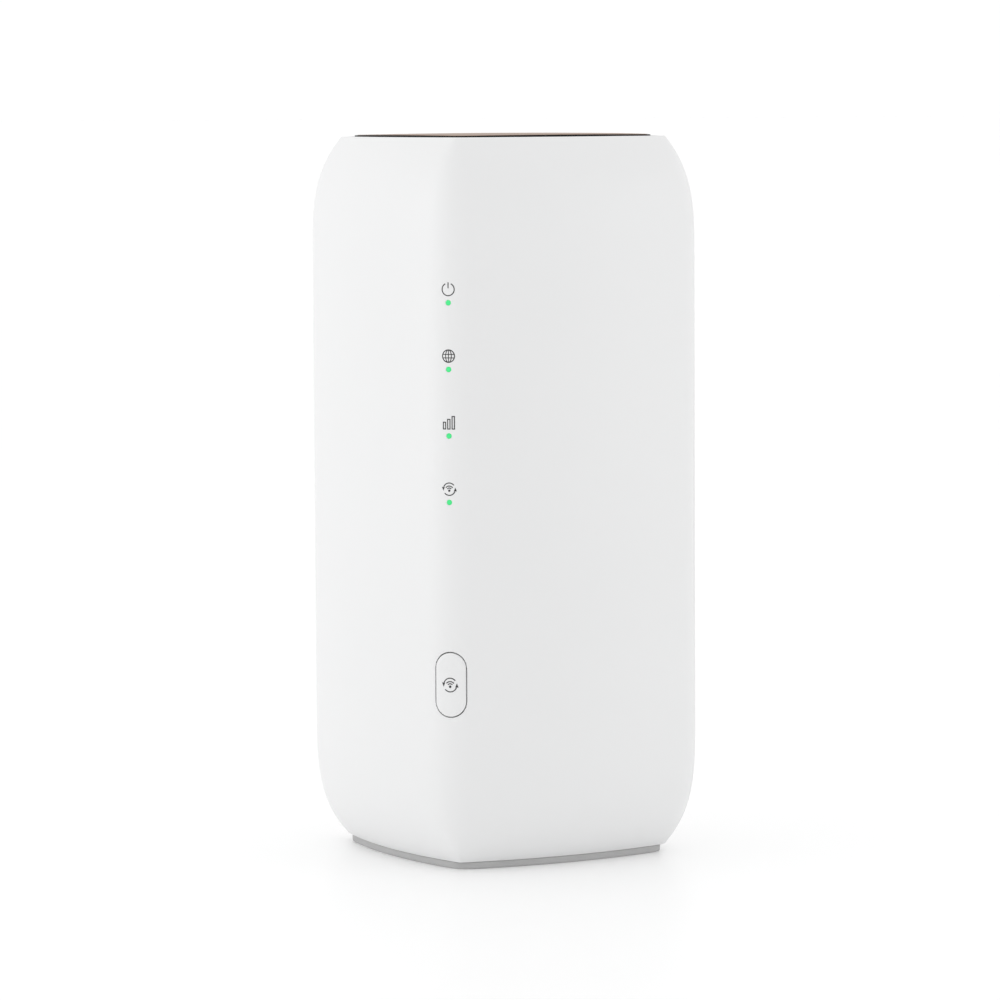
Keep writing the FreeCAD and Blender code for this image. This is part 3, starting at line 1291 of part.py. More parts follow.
def along_side(facing, out, across, height):
    """A point given from one broad side: out along its normal, across along it."""
    c, s = math.cos(math.radians(facing)), math.sin(math.radians(facing))
    return (out * c - across * s, out * s + across * c, height)


def make_leads():
    """Aerial leads: four from the modem to the antenna boards, two from the radio, two to the sockets."""
    face = size("board_face") - size("board_thick") - size("modem_rise") - size("modem_thick")
    plug_x = face - size("plug_thick") - size("coax_radius")
    top = size("modem_low") + size("modem_length") - size("modem_bare") / 2
    lane = size("panel_reach") - size("panel_board") - size("coax_radius") - size("touch_gap")

    def plug(k):
        y = (k - 1.5) * size("plug_pitch")
        return [(plug_x, y, top - 1.2), (plug_x, y, top + 9 + 2 * k)]

    modem = [
        coax("lead_front_left", plug(1) + [
            (-20.0, -16.0, 190.0), along_side(225, lane, 4.0, 196.0), along_side(225, lane, -6.0, 196.0)]),
        coax("lead_front_right", plug(0) + [
            (-13.0, -32.0, 184.0), (-6.0, -42.2, 190.0), (8.0, -42.6, 192.0),
            along_side(315, lane, -14.0, 193.0), along_side(315, lane, -4.0, 193.0)]),
        coax("lead_rear_left", plug(2) + [
            (-20.0, 18.0, 184.0), along_side(135, lane, -2.0, 190.0), along_side(135, lane, 8.0, 190.0)]),
        coax("lead_rear_right", plug(3) + [
            (-14.0, 30.0, 196.0), (-10.0, 51.6, 202.0), (2.0, 52.4, 204.0),
            along_side(45, lane, 12.0, 204.0), along_side(45, lane, 3.0, 204.0)]),
    ]

    start_x = size("board_face") + size("plug_thick") + size("coax_radius")
    radio = []
    for k, (side, facing) in enumerate((("right", 315), ("left", 225))):
        y = (k - 0.5) * size("plug_pitch") - 26.0
        sign = 1 if facing == 315 else -1
        radio.append(coax(f"radio_lead_{side}", [
            (start_x, y, 192.4), (start_x, y, 201.0), (start_x * 0 + sign * 3.0, -42.4, 204.0 + 3 * k),
            (sign * 10.0, -43.6, 204.0 + 3 * k),
            along_side(facing, lane, -sign * 12.0, 205.0 + 3 * k),
            along_side(facing, lane, -sign * 2.0, 205.0 + 3 * k)]))
    node(group("antenna_leads", *modem, *radio), "antenna_coax_cables")

    back = size("panel_face") - size("panel_thick") - size("aerial_tail")
    sockets = []
    for k in range(2):
        height = size("aerial_low") + k * size("aerial_pitch")
        sockets.append(coax(f"socket_lead_{k}", [
            (0.0, back, height), (0.0, back - 5.0, height), (3.0 + 3 * k, back - 14.0, height + 8),
            (3.0 + 3 * k, 30.0, 168.0), (1.0 + 3 * k, 26.5 - 2 * k, 186.0),
            (size("board_face") + 1.8, 26.5 - 2 * k, 200.0), (size("board_face") + 0.6, 26.5 - 2 * k, 206.0)]))
    node(group("socket_leads", *sockets), "socket_coax_cables")


# ---------------------------------------------------------------- cap and grille


def make_grille():
    """The slotted plate under the cap that lets warm air out of the gap round it."""
    plate = bowed_plate("grille_body", "grille_half", "tray_corner", "grille_low", "grille_thick")
    slot = sketch_on(plate, "grille_slot_outline", x="-(grille_count - 1) / 2 * grille_pitch",
                     z="grille_low + grille_thick")
    draw_rectangle(slot, "grille_slot", "grille_reach")
    first = pocket(plate, "grille_slot_cut", slot, "grille_thick")
    repeat(plate, "grille_row", first, slot, "H_Axis", "grille_count", "grille_pitch")
    holes = boss_ring("grille_hole", "screw_shank + fit_gap", "grille_low - 1", "grille_thick + 2",
                      "grille_screw_reach")
    pegs = boss_ring("grille_peg_hole", "small_shank + fit_gap", "grille_low - 1", "grille_thick + 2",
                     "post_reach")
    pad_blocks = boss_ring("grille_land", "post_radius + 1", "grille_low", "grille_thick", "post_reach")
    joined = fuse("grille_joined", plate, *pad_blocks)
    node(cut("grille_cut", joined, *holes, *pegs), "top_grille")


def domed_plate(name, half, radius):
    """A plate with the housing's plan shape under a shallow sphere."""
    blank = bowed_plate(name + "_body", half, "cap_corner", "cap_low", "cap_crown - cap_low")
    return common(name, blank, dome(name + "_dome", radius))


def dome(name, radius):
    """A sphere about the centre of the cap's domed top."""
    sphere = doc.addObject("Part::Sphere", name)
    link(sphere, "Radius", radius)
    return place(sphere, "0", "0", "cap_crown - cap_sphere")


def inlay_layer(name, edge):
    """The layer that the inlay fills, some way in from the cap's edge."""
    top = domed_plate(name + "_top", f"cap_half - ({edge})", "cap_sphere")
    return cut(name + "_layer", top, dome(name + "_underside", "cap_sphere - inlay_thick"))


def make_cap():
    """The domed cap on four posts, the thin coloured inlay in its recess, and the small screws."""
    blank = domed_plate("cap_top", "cap_half", "cap_sphere - inlay_proud")
    recess = inlay_layer("recess", "inlay_edge - fit_gap")
    node(inlay_layer("inlay", "inlay_edge"), "cap_inlay")
    top = "grille_low + grille_thick"
    posts = boss_ring("cap_post", "post_radius", top, f"cap_low + 0.5 - ({top})", "post_reach")
    pilots = boss_ring("cap_pilot", "small_shank", f"{top} - 1", "5", "post_reach")
    node(cut("cap_cut", fuse("cap_joined", blank, *posts), recess, *pilots), "top_cap")
    spots = on_axes("post_reach")
    screws = [small_screw(f"cap_screw_{k}", (x, y, "grille_low"), UPRIGHT) for k, (x, y) in enumerate(spots)]
    screws += [
        small_screw(f"front_screw_{k}", ("0", "-front_face", height), REARWARD)
        for k, height in enumerate(("front_low + 4", "front_high - 4"))
    ]
    node(group("small_screw_set", *screws), "small_screws")


# ---------------------------------------------------------------- assembly

make_housing()
make_foot()
make_base()
make_card_door()
make_lower_tray()
make_upper_tray()
make_carrier()
make_front_board()
make_lights()
make_pairing_button()
make_ribbon()
make_case_screws()
make_panel()
make_sockets()
make_antenna_sockets()
make_antenna_cover()
make_main_board()
make_chips()
make_heatsinks()
make_modem()
make_card_socket()
make_antennas()
make_leads()
make_grille()
make_cap()

doc.recompute()
for obj in doc.Objects:
    if "Invalid" in obj.State or "Error" in obj.State:
        raise ValueError(f"{obj.Name} failed: {obj.State}")
for label, obj in NODES.items():
    if obj.Shape.isNull() or not obj.Shape.isValid() or not obj.Shape.Solids:
        raise ValueError(f"{label} is not a sound solid")

os.makedirs("parts", exist_ok=True)
for label, obj in NODES.items():
    obj.Shape.exportStep(f"parts/{label}.step")
print(len(NODES), "sub-parts")
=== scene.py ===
"""Looks of an indoor wireless router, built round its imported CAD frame.

Lengths are in millimetres and become metres where a vertex is made. The corner with the lights
points to -Y and the corner with the sockets to +Y, so each shell is half of one closed outline.
"""

import json
import math
from collections import namedtuple
from functools import lru_cache

import bmesh
import bpy
from mathutils import Matrix, Vector

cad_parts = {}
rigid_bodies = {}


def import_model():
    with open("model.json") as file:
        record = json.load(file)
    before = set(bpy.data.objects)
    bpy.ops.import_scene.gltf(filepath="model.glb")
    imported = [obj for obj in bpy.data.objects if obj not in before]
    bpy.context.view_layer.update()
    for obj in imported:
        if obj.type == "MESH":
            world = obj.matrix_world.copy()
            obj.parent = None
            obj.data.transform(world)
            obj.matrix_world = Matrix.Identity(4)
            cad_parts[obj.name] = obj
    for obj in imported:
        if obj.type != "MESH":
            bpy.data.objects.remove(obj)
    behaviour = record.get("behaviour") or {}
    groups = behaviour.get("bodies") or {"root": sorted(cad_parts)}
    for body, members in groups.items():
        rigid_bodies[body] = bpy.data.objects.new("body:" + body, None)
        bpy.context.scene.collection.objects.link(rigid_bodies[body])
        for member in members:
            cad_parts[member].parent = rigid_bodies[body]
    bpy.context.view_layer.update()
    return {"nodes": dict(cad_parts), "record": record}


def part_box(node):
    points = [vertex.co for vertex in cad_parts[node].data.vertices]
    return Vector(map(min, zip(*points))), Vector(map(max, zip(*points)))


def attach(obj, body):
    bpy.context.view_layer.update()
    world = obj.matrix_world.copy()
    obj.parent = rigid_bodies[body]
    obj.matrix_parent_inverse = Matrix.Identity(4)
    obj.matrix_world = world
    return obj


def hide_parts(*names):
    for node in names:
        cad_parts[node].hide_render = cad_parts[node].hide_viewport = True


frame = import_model()

MM = 0.001
BODY = "router"


def node_box(name):
    """Lowest and highest corner of a CAD node, in millimetres."""
    low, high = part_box(name)
    return low / MM, high / MM


# ---------------------------------------------------------------- sizes

FOOT_HEIGHT = node_box("foot_ring")[1].z
RIM_HEIGHT = node_box("front_shell")[1].z
CROWN = node_box("cap_inlay")[1].z
LENS_FACE = -node_box("light_guide")[0].y

HALF_WIDTH, SIDE_BOW = 53.5, 154.0
CORNER_RADIUS, END_RADIUS = 16.6, 1.5
TOP_INSET, TOP_BLEND, TOP_POWER = 10.4, 37.0, 3.2
BOTTOM_INSET, BOTTOM_BLEND, BOTTOM_POWER = 11.0, 45.0, 4.0
WALL, SEAM_GAP = 2.2, 0.2
REBATE, REBATE_LENGTH = 1.0, 2.3
TONGUE, TONGUE_LENGTH = 1.15, 2.2
RIM_ROUND, BASE_ROUND, SEAM_ROUND, HOLE_ROUND = 0.3, 0.08, 0.25, 0.15

LIGHT_COUNT, LIGHT_PITCH, LIGHT_TOP = 4, 20.7, 179.0
LIGHT_RADIUS, LIGHT_HOLE = 0.8, 0.85
BUTTON_HEIGHT, BUTTON_WIDTH, BUTTON_LENGTH, BUTTON_GAP = 59.8, 9.6, 20.0, 0.35
BUTTON_PROUD, BUTTON_ROUND = 0.3, 0.35
WINDOW_WIDTH, WINDOW_LOW, WINDOW_HIGH, WINDOW_CORNER = 28.0, 25.0, 150.0, 3.0
COVER_GAP, COVER_THICK, COVER_LOW, COVER_STEP = 0.3, 1.8, 112.3, 117.4
COVER_NECK, HINGE_Y, HINGE_Z, KNUCKLE, HINGE_BORE = 11.2, 55.0, 114.2, 2.0, 0.85

FOOT_HALF, FOOT_CORNER, FOOT_BAND, FOOT_ROUND = 42.1, 8.0, 8.0, 0.5
NOTCH_WIDTH, NOTCH_HEIGHT, NOTCH_RAMP = 26.0, 1.6, 0.6
CAP_HALF, CAP_CORNER, CAP_LOW, CAP_SPHERE, CAP_ROUND = 39.9, 8.0, 228.3, 2500.0, 0.06
INLAY_THICK, INLAY_PROUD, INLAY_EDGE, INLAY_GAP = 0.25, 0.1, 1.0, 0.1
POST_RADIUS, POST_REACH, POST_LOW = 3.0, 33.0, 222.0

# ---------------------------------------------------------------- housing surface

Outline = namedtuple("Outline", "corner radius edge side bow turn")


def bowed_outline(half, radius, bow):
    """Quarter of a bowed square with its corners on the axes: where its arcs are and how large."""
    centre = half - bow
    reach = bow - radius
    diagonal = (centre + math.sqrt(2 * reach**2 - centre**2)) / 2
    turn = math.atan2(diagonal, diagonal - centre)
    edge = radius * math.sin(math.pi / 4 - turn)
    return Outline(diagonal * math.sqrt(2), radius, edge, centre / math.sqrt(2), bow, turn)


@lru_cache(maxsize=None)
def housing(height, depth):
    """The housing's outline at a height, some depth below its outer surface."""
    bottom = max(0.0, 1 - (height - FOOT_HEIGHT) / BOTTOM_BLEND) ** BOTTOM_POWER
    top = max(0.0, 1 - (RIM_HEIGHT - height) / TOP_BLEND) ** TOP_POWER
    half = HALF_WIDTH - BOTTOM_INSET * bottom - TOP_INSET * top
    radius = CORNER_RADIUS - (CORNER_RADIUS - END_RADIUS) * (bottom + top)
    return bowed_outline(half - depth, max(radius - depth, REBATE / 2), SIDE_BOW - depth)


def across(shape, offset):
    """Distance from the axis to the outline along one axis, at an offset to its side."""
    offset = abs(offset)
    if offset <= shape.edge:
        return shape.corner + math.sqrt(shape.radius**2 - offset**2)
    return shape.side + math.sqrt(shape.bow**2 - (offset - shape.side) ** 2)


def skin(x, height, depth, rear=False):
    """Point on the front or rear corner of the housing, in metres."""
    y = -across(housing(height, depth), x)
    return Vector((x, -y if rear else y, height)) * MM


# Columns run round half the housing. Near a corner a column keeps its distance from that corner's
# axis, and between them it keeps its share of the bowed side. A hole replaces a patch of the skin
# whose half width is one of the front offsets.

FRONT_OFFSETS = (0.25, 0.5, 0.75, 1.0, 1.5, 2.0, 3.0, 4.0, 5.0, 6.0, 7.0, 8.5, 10.0, 11.5, 13.0, 14.5,
                 16.0, 18.0, 20.0)
SEAM_OFFSETS = (0.6, 0.9, 1.3, 1.8, 3.0, 4.0, 5.5, 7.5, 10.0, 13.0, 16.0, 20.0)
MIDDLE_STEPS = 8
LIGHT_PATCH, BUTTON_PATCH, WINDOW_PATCH = 2.0, 7.0, 16.0


def quarter_columns():
    """Columns from just beside the front corner to the seam at the right corner."""
    middle = [("share", 2 * k / MIDDLE_STEPS - 1) for k in range(1, MIDDLE_STEPS)]
    seam = (SEAM_GAP / 2 + SEAM_ROUND, *SEAM_OFFSETS)
    return [("front", x) for x in FRONT_OFFSETS] + middle + [("seam", y) for y in reversed(seam)]


def half_columns():
    """Columns from the seam at the left corner, past the front corner, to the right seam."""
    quarter = quarter_columns()
    left = [(-1, *column) for column in reversed(quarter)]
    return left + [(1, "front", 0.0)] + [(1, *column) for column in quarter]


def column_point(column, height, depth, rear):
    """Where a column crosses a height, at a depth below the outer surface, in metres."""
    side, kind, value = column
    shape = housing(height, depth)
    if kind == "front":
        x, y = value, -across(shape, value)
    elif kind == "seam":
        x, y = across(shape, value), -value
    else:
        start = Vector((FRONT_OFFSETS[-1], -across(shape, FRONT_OFFSETS[-1])))
        centre = Vector((shape.side, -shape.side))
        facing = Vector((1, -1)).normalized()
        along = Vector((1, 1)).normalized()
        spread = math.atan2(-(start - centre).dot(along), (start - centre).dot(facing))
        x, y = centre + shape.bow * (facing * math.cos(value * spread) + along * math.sin(value * spread))
    return Vector((side * x, -y if rear else y, height)) * MM


def quarter_turn(steps):
    """Angles from 0 to a right angle."""
    return [math.pi / 2 * k / steps for k in range(steps + 1)]


def filled(marks, step):
    """The marks in order, with more between them wherever they lie further apart than a step."""
    marks = sorted(set(round(mark, 4) for mark in marks))
    values = []
    for low, high in zip(marks, marks[1:]):
        count = max(1, math.ceil((high - low) / step))
        values += [low + (high - low) * k / count for k in range(count)]
    return values + marks[-1:]


# ---------------------------------------------------------------- mesh helpers


def bridge(bm, first, second, closed=False):
    """Quads between two rows of vertices of the same length."""
    count = len(first) if closed else len(first) - 1
    for k in range(count):
        n = (k + 1) % len(first)
        bm.faces.new((first[k], first[n], second[n], second[k]))


def finish_piece(name, bm, finish, body=BODY, replaces=(), sharp=38.0):
    """Turns a bmesh into a piece that rides on a body, smooth except at its sharp edges."""
    bmesh.ops.remove_doubles(bm, verts=bm.verts, dist=1e-7)
    bmesh.ops.recalc_face_normals(bm, faces=bm.faces)
    for face in bm.faces:
        face.smooth = True
    for edge in bm.edges:
        if len(edge.link_faces) == 2:
            edge.smooth = edge.calc_face_angle(0.0) < math.radians(sharp)
    mesh = bpy.data.meshes.new(name)
    bm.to_mesh(mesh)
    bm.free()
    mesh.materials.append(finish)
    piece = bpy.data.objects.new(name, mesh)
    bpy.context.scene.collection.objects.link(piece)
    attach(piece, body)
    if replaces:
        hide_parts(*replaces)
    return piece


def lathe(bm, profile, origin, axis, sides=48):
    """A turned skin through (radius, distance along the axis) pairs, in millimetres."""
    axis = Vector(axis).normalized()
    across_axis = axis.orthogonal().normalized()
    third = axis.cross(across_axis)
    rings = []
    for radius, distance in profile:
        middle = Vector(origin) + axis * distance
        angles = [2 * math.pi * k / sides for k in range(sides)]
        ring = [middle + (across_axis * math.cos(a) + third * math.sin(a)) * radius for a in angles]
        rings.append([bm.verts.new(p * MM) for p in ring])
    for first, second in zip(rings, rings[1:]):
        bridge(bm, first, second, closed=True)


def soft_box(bm, low, high, edge):
    """A block with its twelve edges rounded."""
    low, high = Vector(low), Vector(high)
    size = high - low
    shape = Matrix.Translation((low + high) / 2 * MM) @ Matrix.Diagonal((*(size * MM), 1))
    made = bmesh.ops.create_cube(bm, size=1.0, matrix=shape)
    edges = list({e for v in made["verts"] for e in v.link_edges})
    bmesh.ops.bevel(bm, geom=edges, offset=edge * MM, segments=3, affect="EDGES", profile=0.5)


# ---------------------------------------------------------------- holes through the shell

Hole = namedtuple("Hole", "height half_x half_z radius reach_x reach_z")


def hole_direction(hole, x, height):
    """Nearest point of a hole's skeleton, and the way and distance from it to (x, height)."""
    middle = Vector((
        min(max(x, -hole.half_x), hole.half_x),
        hole.height + min(max(height - hole.height, -hole.half_z), hole.half_z)))
    way = Vector((x, height)) - middle
    return middle, way.normalized(), way.length


def hole_profile(spare):
    """(distance outside the hole, depth) pairs, from the outer skin over the edge to the inner skin."""
    steps = [(HOLE_ROUND + (spare - HOLE_ROUND) * share, 0.0) for share in (0.66, 0.33)]
    steps += [(HOLE_ROUND * (1 - math.sin(a)), HOLE_ROUND * (1 - math.cos(a))) for a in quarter_turn(3)]
    steps += [(0.0, WALL / 2), (0.0, WALL)]
    return steps + [(spare * share, WALL) for share in (0.33, 0.66)]


def cut_hole(bm, rows, columns, outer, inner, hole, rear):
    """Fills the gap left in both skins with rings of quads that end on the hole's own outline."""
    offsets = [side * value if kind == "front" else None for side, kind, value in columns]
    left, right = offsets.index(-hole.reach_x), offsets.index(hole.reach_x)
    heights = [height for height, depth in rows]
    low = min(range(len(heights)), key=lambda i: abs(heights[i] - hole.height + hole.reach_z))
    high = min(range(len(heights)), key=lambda i: abs(heights[i] - hole.height - hole.reach_z))
    border = [(low, j) for j in range(left, right)] + [(i, right) for i in range(low, high)]
    border += [(high, j) for j in range(right, left, -1)] + [(i, left) for i in range(high, low, -1)]
    chains = []
    for i, j in border:
        middle, way, distance = hole_direction(hole, offsets[j], heights[i])
        chain = [outer[i][j]]
        for beyond, depth in hole_profile(distance - hole.radius):
            spot = middle + way * (hole.radius + beyond)
            chain.append(bm.verts.new(skin(spot.x, spot.y, depth, rear)))
        chains.append(chain + [inner[i][j]])
    for first, second in zip(chains, chains[1:] + chains[:1]):
        bridge(bm, first, second)
    return {(i, j) for i in range(low, high) for j in range(left, right)}


# ---------------------------------------------------------------- shells

BLEND_SHARES, ROW_SPACING = (0.06, 0.2, 0.4, 0.7, 1), 3.0


def shell_rows(holes):
    """(height, depth of the outer skin) pairs from the foot to the rim, rounded at both ends."""
    marks = [FOOT_HEIGHT + BASE_ROUND, RIM_HEIGHT - RIM_ROUND]
    for share in BLEND_SHARES:
        marks += [FOOT_HEIGHT + BOTTOM_BLEND * share**1.5, RIM_HEIGHT - TOP_BLEND * share**1.5]
    for hole in holes:
        edges = [0, hole.half_z, hole.half_z + hole.radius, hole.reach_z]
        for offset in filled(edges, hole.radius * 0.6):
            marks += [hole.height - offset, hole.height + offset]
    rows = [(height, 0.0) for height in filled(marks, ROW_SPACING)]
    low = [(FOOT_HEIGHT + BASE_ROUND * (1 - math.cos(a)), BASE_ROUND * (1 - math.sin(a)))
           for a in quarter_turn(4)[:-1]]
    high = [(RIM_HEIGHT - RIM_ROUND * (1 - math.cos(a)), RIM_ROUND * (1 - math.sin(a)))
            for a in reversed(quarter_turn(4)[:-1])]
    return low + rows + high


def build_shell(name, rear, holes, seam, dropped, finish):
    """One shell as closed rings, row above row: outer skin, seam edge, inner skin, seam edge."""
    columns = half_columns()
    rows = shell_rows(holes)
    bm = bmesh.new()
    outer = [[bm.verts.new(column_point(c, h, d, rear)) for c in columns] for h, d in rows]
    kept = range(dropped, len(columns) - dropped)
    inner = [{j: bm.verts.new(column_point(columns[j], h, WALL, rear)) for j in kept} for h, d in rows]

    def seam_edge(side):
        """Rows of vertices over the shell's edge at one seam, from the outer skin to the inner."""
        return [[bm.verts.new(column_point((side, "seam", offset), h, max(own, d), rear))
                 for offset, own in seam] for h, d in rows]

    right, left = seam_edge(1), seam_edge(-1)
    skipped = set()
    for hole in holes:
        skipped |= cut_hole(bm, rows, columns, outer, inner, hole, rear)
    last = len(columns) - 1
    for i in range(len(rows) - 1):
        for j in range(last):
            if (i, j) in skipped:
                continue
            bm.faces.new((outer[i][j], outer[i][j + 1], outer[i + 1][j + 1], outer[i + 1][j]))
            if j in inner[i] and j + 1 in inner[i]:
                bm.faces.new((inner[i][j], inner[i + 1][j], inner[i + 1][j + 1], inner[i][j + 1]))
        for ends, edge in (((last, last - dropped), right), ((0, dropped), left)):
            chain, above = (
                [outer[k][ends[0]], *edge[k], inner[k][ends[1]]] for k in (i, i + 1))
            bridge(bm, chain, above)
    for i in (0, len(rows) - 1):
        for j in kept[:-1]:
            bm.faces.new((outer[i][j], outer[i][j + 1], inner[i][j + 1], inner[i][j]))
        bm.faces.new([*outer[i][last - dropped:], *right[i], inner[i][last - dropped]])
        bm.faces.new([*outer[i][:dropped + 1], inner[i][dropped], *reversed(left[i])])
    return finish_piece(name, bm, finish, replaces=(name_of_node(name),))


def name_of_node(piece_name):
    """A rebuilt piece is named after the CAD node that it stands for, with this ending."""
    return piece_name.removesuffix("_skin")


def seam_round():
    """(offset from the seam plane, depth) pairs over the shell's rounded seam edge."""
    half = SEAM_GAP / 2
    return [(half + SEAM_ROUND * (1 - math.sin(a)), SEAM_ROUND * (1 - math.cos(a)))
            for a in quarter_turn(3)[1:]]


def make_shells(finish):
    """Front shell with the lights' and button's holes, rear shell with the socket window."""
    half = SEAM_GAP / 2
    lights = [Hole(LIGHT_TOP - k * LIGHT_PITCH, 0.0, 0.0, LIGHT_HOLE, LIGHT_PATCH, LIGHT_PATCH)
              for k in range(LIGHT_COUNT)]
    radius = BUTTON_WIDTH / 2 + BUTTON_GAP
    straight = (BUTTON_LENGTH - BUTTON_WIDTH) / 2
    button = Hole(BUTTON_HEIGHT, 0.0, straight, radius, BUTTON_PATCH, straight + BUTTON_PATCH)
    front_seam = seam_round() + [(half, REBATE), (REBATE_LENGTH, REBATE), (REBATE_LENGTH, WALL)]
    dropped = 1 + sum(offset < REBATE_LENGTH for offset in SEAM_OFFSETS)
    build_shell("front_shell_skin", False, [button, *lights], front_seam, dropped, finish)

    middle, tall = (WINDOW_LOW + WINDOW_HIGH) / 2, (WINDOW_HIGH - WINDOW_LOW) / 2
    window = Hole(middle, WINDOW_WIDTH / 2 - WINDOW_CORNER, tall - WINDOW_CORNER, WINDOW_CORNER,
                  WINDOW_PATCH, tall + 2.0)
    rear_seam = seam_round() + [(half, TONGUE), (-TONGUE_LENGTH, TONGUE), (-TONGUE_LENGTH, WALL)]
    build_shell("rear_shell_skin", True, [window], rear_seam, 0, finish)


# ---------------------------------------------------------------- foot and cap

ARC_STEPS, SIDE_STEPS = 8, 14
DOME_SHARES = (0.96, 0.87, 0.72, 0.5, 0.25)


def side_angles():
    """Angles along a bowed side, evenly spaced but for the edges of an air notch."""
    spread = bowed_outline(FOOT_HALF, FOOT_CORNER, SIDE_BOW).turn
    marks = [spread * (2 * k / SIDE_STEPS - 1) for k in range(1, SIDE_STEPS)]
    edges = [math.asin((NOTCH_WIDTH + change) / 2 / SIDE_BOW) for change in (-NOTCH_RAMP, NOTCH_RAMP)]
    return sorted(marks + edges + [-edge for edge in edges])


def plan_ring(half, radius, inset):
    """Points round a bowed square with its corners on the axes, drawn in by an inset."""
    shape = bowed_outline(half - inset, max(radius - inset, REBATE / 2), SIDE_BOW - inset)
    swing = math.pi / 4 - shape.turn
    facing, along = Vector((1, -1)).normalized(), Vector((1, 1)).normalized()
    points = []
    for corner in range(4):
        spin = Matrix.Rotation(corner * math.pi / 2, 2)
        arc = [swing * (2 * k / ARC_STEPS - 1) for k in range(ARC_STEPS + 1)]
        points += [spin @ Vector((shape.radius * math.sin(a), -shape.corner - shape.radius * math.cos(a)))
                   for a in arc]
        centre = Vector((shape.side, -shape.side))
        points += [spin @ (centre + shape.bow * (facing * math.cos(a) + along * math.sin(a)))
                   for a in side_angles()]
    return points


def stack_rings(bm, half, radius, levels):
    """Rings of vertices, one for each (inset, height function) pair, joined in order."""
    rings = []
    for inset, height in levels:
        ring = [Vector((*point, height(point))) for point in plan_ring(half, radius, inset)]
        rings.append([bm.verts.new(point * MM) for point in ring])
    for first, second in zip(rings, rings[1:]):
        bridge(bm, first, second, closed=True)
    return rings


def level(height):
    """A height function that is the same all over."""
    return lambda point: height


def notch_lift(point):
    """How far an air notch raises the foot's underside at a point: only on the two rear sides."""
    along = abs(abs(point.x) - point.y) / math.sqrt(2)
    inside = (NOTCH_WIDTH + NOTCH_RAMP) / 2 - along
    return NOTCH_HEIGHT * min(max(inside / NOTCH_RAMP, 0.0), 1.0) if point.y > 0 else 0.0


def make_foot(finish):
    """The foot ring, rounded at its edges, with an air notch in each rear side."""
    levels = [(FOOT_ROUND * (1 - math.sin(a)),
               lambda p, rise=FOOT_ROUND * (1 - math.cos(a)): notch_lift(p) + rise)
              for a in quarter_turn(4)]
    levels += [(FOOT_ROUND * (1 - math.cos(a)), level(FOOT_HEIGHT - FOOT_ROUND * (1 - math.sin(a))))
               for a in quarter_turn(4)]
    levels += [(FOOT_BAND, level(FOOT_HEIGHT)), (FOOT_BAND, notch_lift)]
    bm = bmesh.new()
    rings = stack_rings(bm, FOOT_HALF, FOOT_CORNER, levels)
    bridge(bm, rings[-1], rings[0], closed=True)
    finish_piece("foot_ring_skin", bm, finish, replaces=("foot_ring",))


def dome(drop):
    """Height of the cap's shallow dome above a plan point, less a drop."""
    return lambda p: CROWN - CAP_SPHERE + math.sqrt(CAP_SPHERE**2 - p.length_squared) - drop


def cover(bm, ring, drop):
    """Closes a ring of the cap with smaller and smaller copies of itself that follow the dome."""
    height = dome(drop)
    outer = ring
    for share in DOME_SHARES:
        points = [vertex.co.xy / MM * share for vertex in ring]
        inner = [bm.verts.new(Vector((*point, height(point))) * MM) for point in points]
        bridge(bm, outer, inner, closed=True)
        outer = inner
    bm.faces.new(outer)


def make_cap(black, copper):
    """The glossy carrier on its four posts, and the copper coloured inlay in its recess."""
    edge = [(CAP_ROUND * (1 - math.cos(a)), dome(INLAY_PROUD + CAP_ROUND * (1 - math.sin(a))))
            for a in quarter_turn(4)]
    recess = INLAY_EDGE - INLAY_GAP
    bm = bmesh.new()
    rings = stack_rings(bm, CAP_HALF, CAP_CORNER, [
        (0.0, level(CAP_LOW)), *edge, (recess, dome(INLAY_PROUD)), (recess, dome(INLAY_THICK))])
    bm.faces.new(rings[0])
    cover(bm, rings[-1], INLAY_THICK)
    for k in range(4):
        spot = Matrix.Rotation(k * math.pi / 2, 3, "Z") @ Vector((POST_REACH, 0, POST_LOW))
        tall = CAP_LOW + 0.5 - POST_LOW
        lathe(bm, [(0, 0), (POST_RADIUS, 0), (POST_RADIUS, tall), (0, tall)], spot, (0, 0, 1), sides=32)
    finish_piece("top_cap_skin", bm, black, replaces=("top_cap",))

    bm = bmesh.new()
    soft = INLAY_PROUD / 2
    rim = [(INLAY_EDGE + soft * (1 - math.cos(a)), dome(soft * (1 - math.sin(a)))) for a in quarter_turn(3)]
    rings = stack_rings(bm, CAP_HALF, CAP_CORNER, [(INLAY_EDGE, dome(INLAY_THICK)), *rim])
    cover(bm, rings[0], INLAY_THICK)
    cover(bm, rings[-1], 0.0)
    finish_piece("cap_inlay_skin", bm, copper, replaces=("cap_inlay",))


# ---------------------------------------------------------------- pairing button and lights

STEM_RADIUS, STEM_END = 2.0, 56.12
FLANGE_EXTRA, FLANGE_DEPTH, BUTTON_BACK, STEM_SINK = 1.0, 2.5, 4.2, 0.5
OVAL_ARC_STEPS, OVAL_SIDE_STEPS = 20, 10


def oval_rays(straight):
    """(skeleton height, way out) pairs round an upright oval."""
    arc = [math.pi * k / OVAL_ARC_STEPS for k in range(OVAL_ARC_STEPS + 1)]
    sides = [straight * (1 - 2 * k / OVAL_SIDE_STEPS) for k in range(1, OVAL_SIDE_STEPS)]
    rays = [(straight, Vector((math.cos(a), math.sin(a)))) for a in arc]
    rays += [(height, Vector((-1, 0))) for height in sides]
    rays += [(-straight, Vector((-math.cos(a), -math.sin(a)))) for a in arc]
    return rays + [(height, Vector((1, 0))) for height in reversed(sides)]


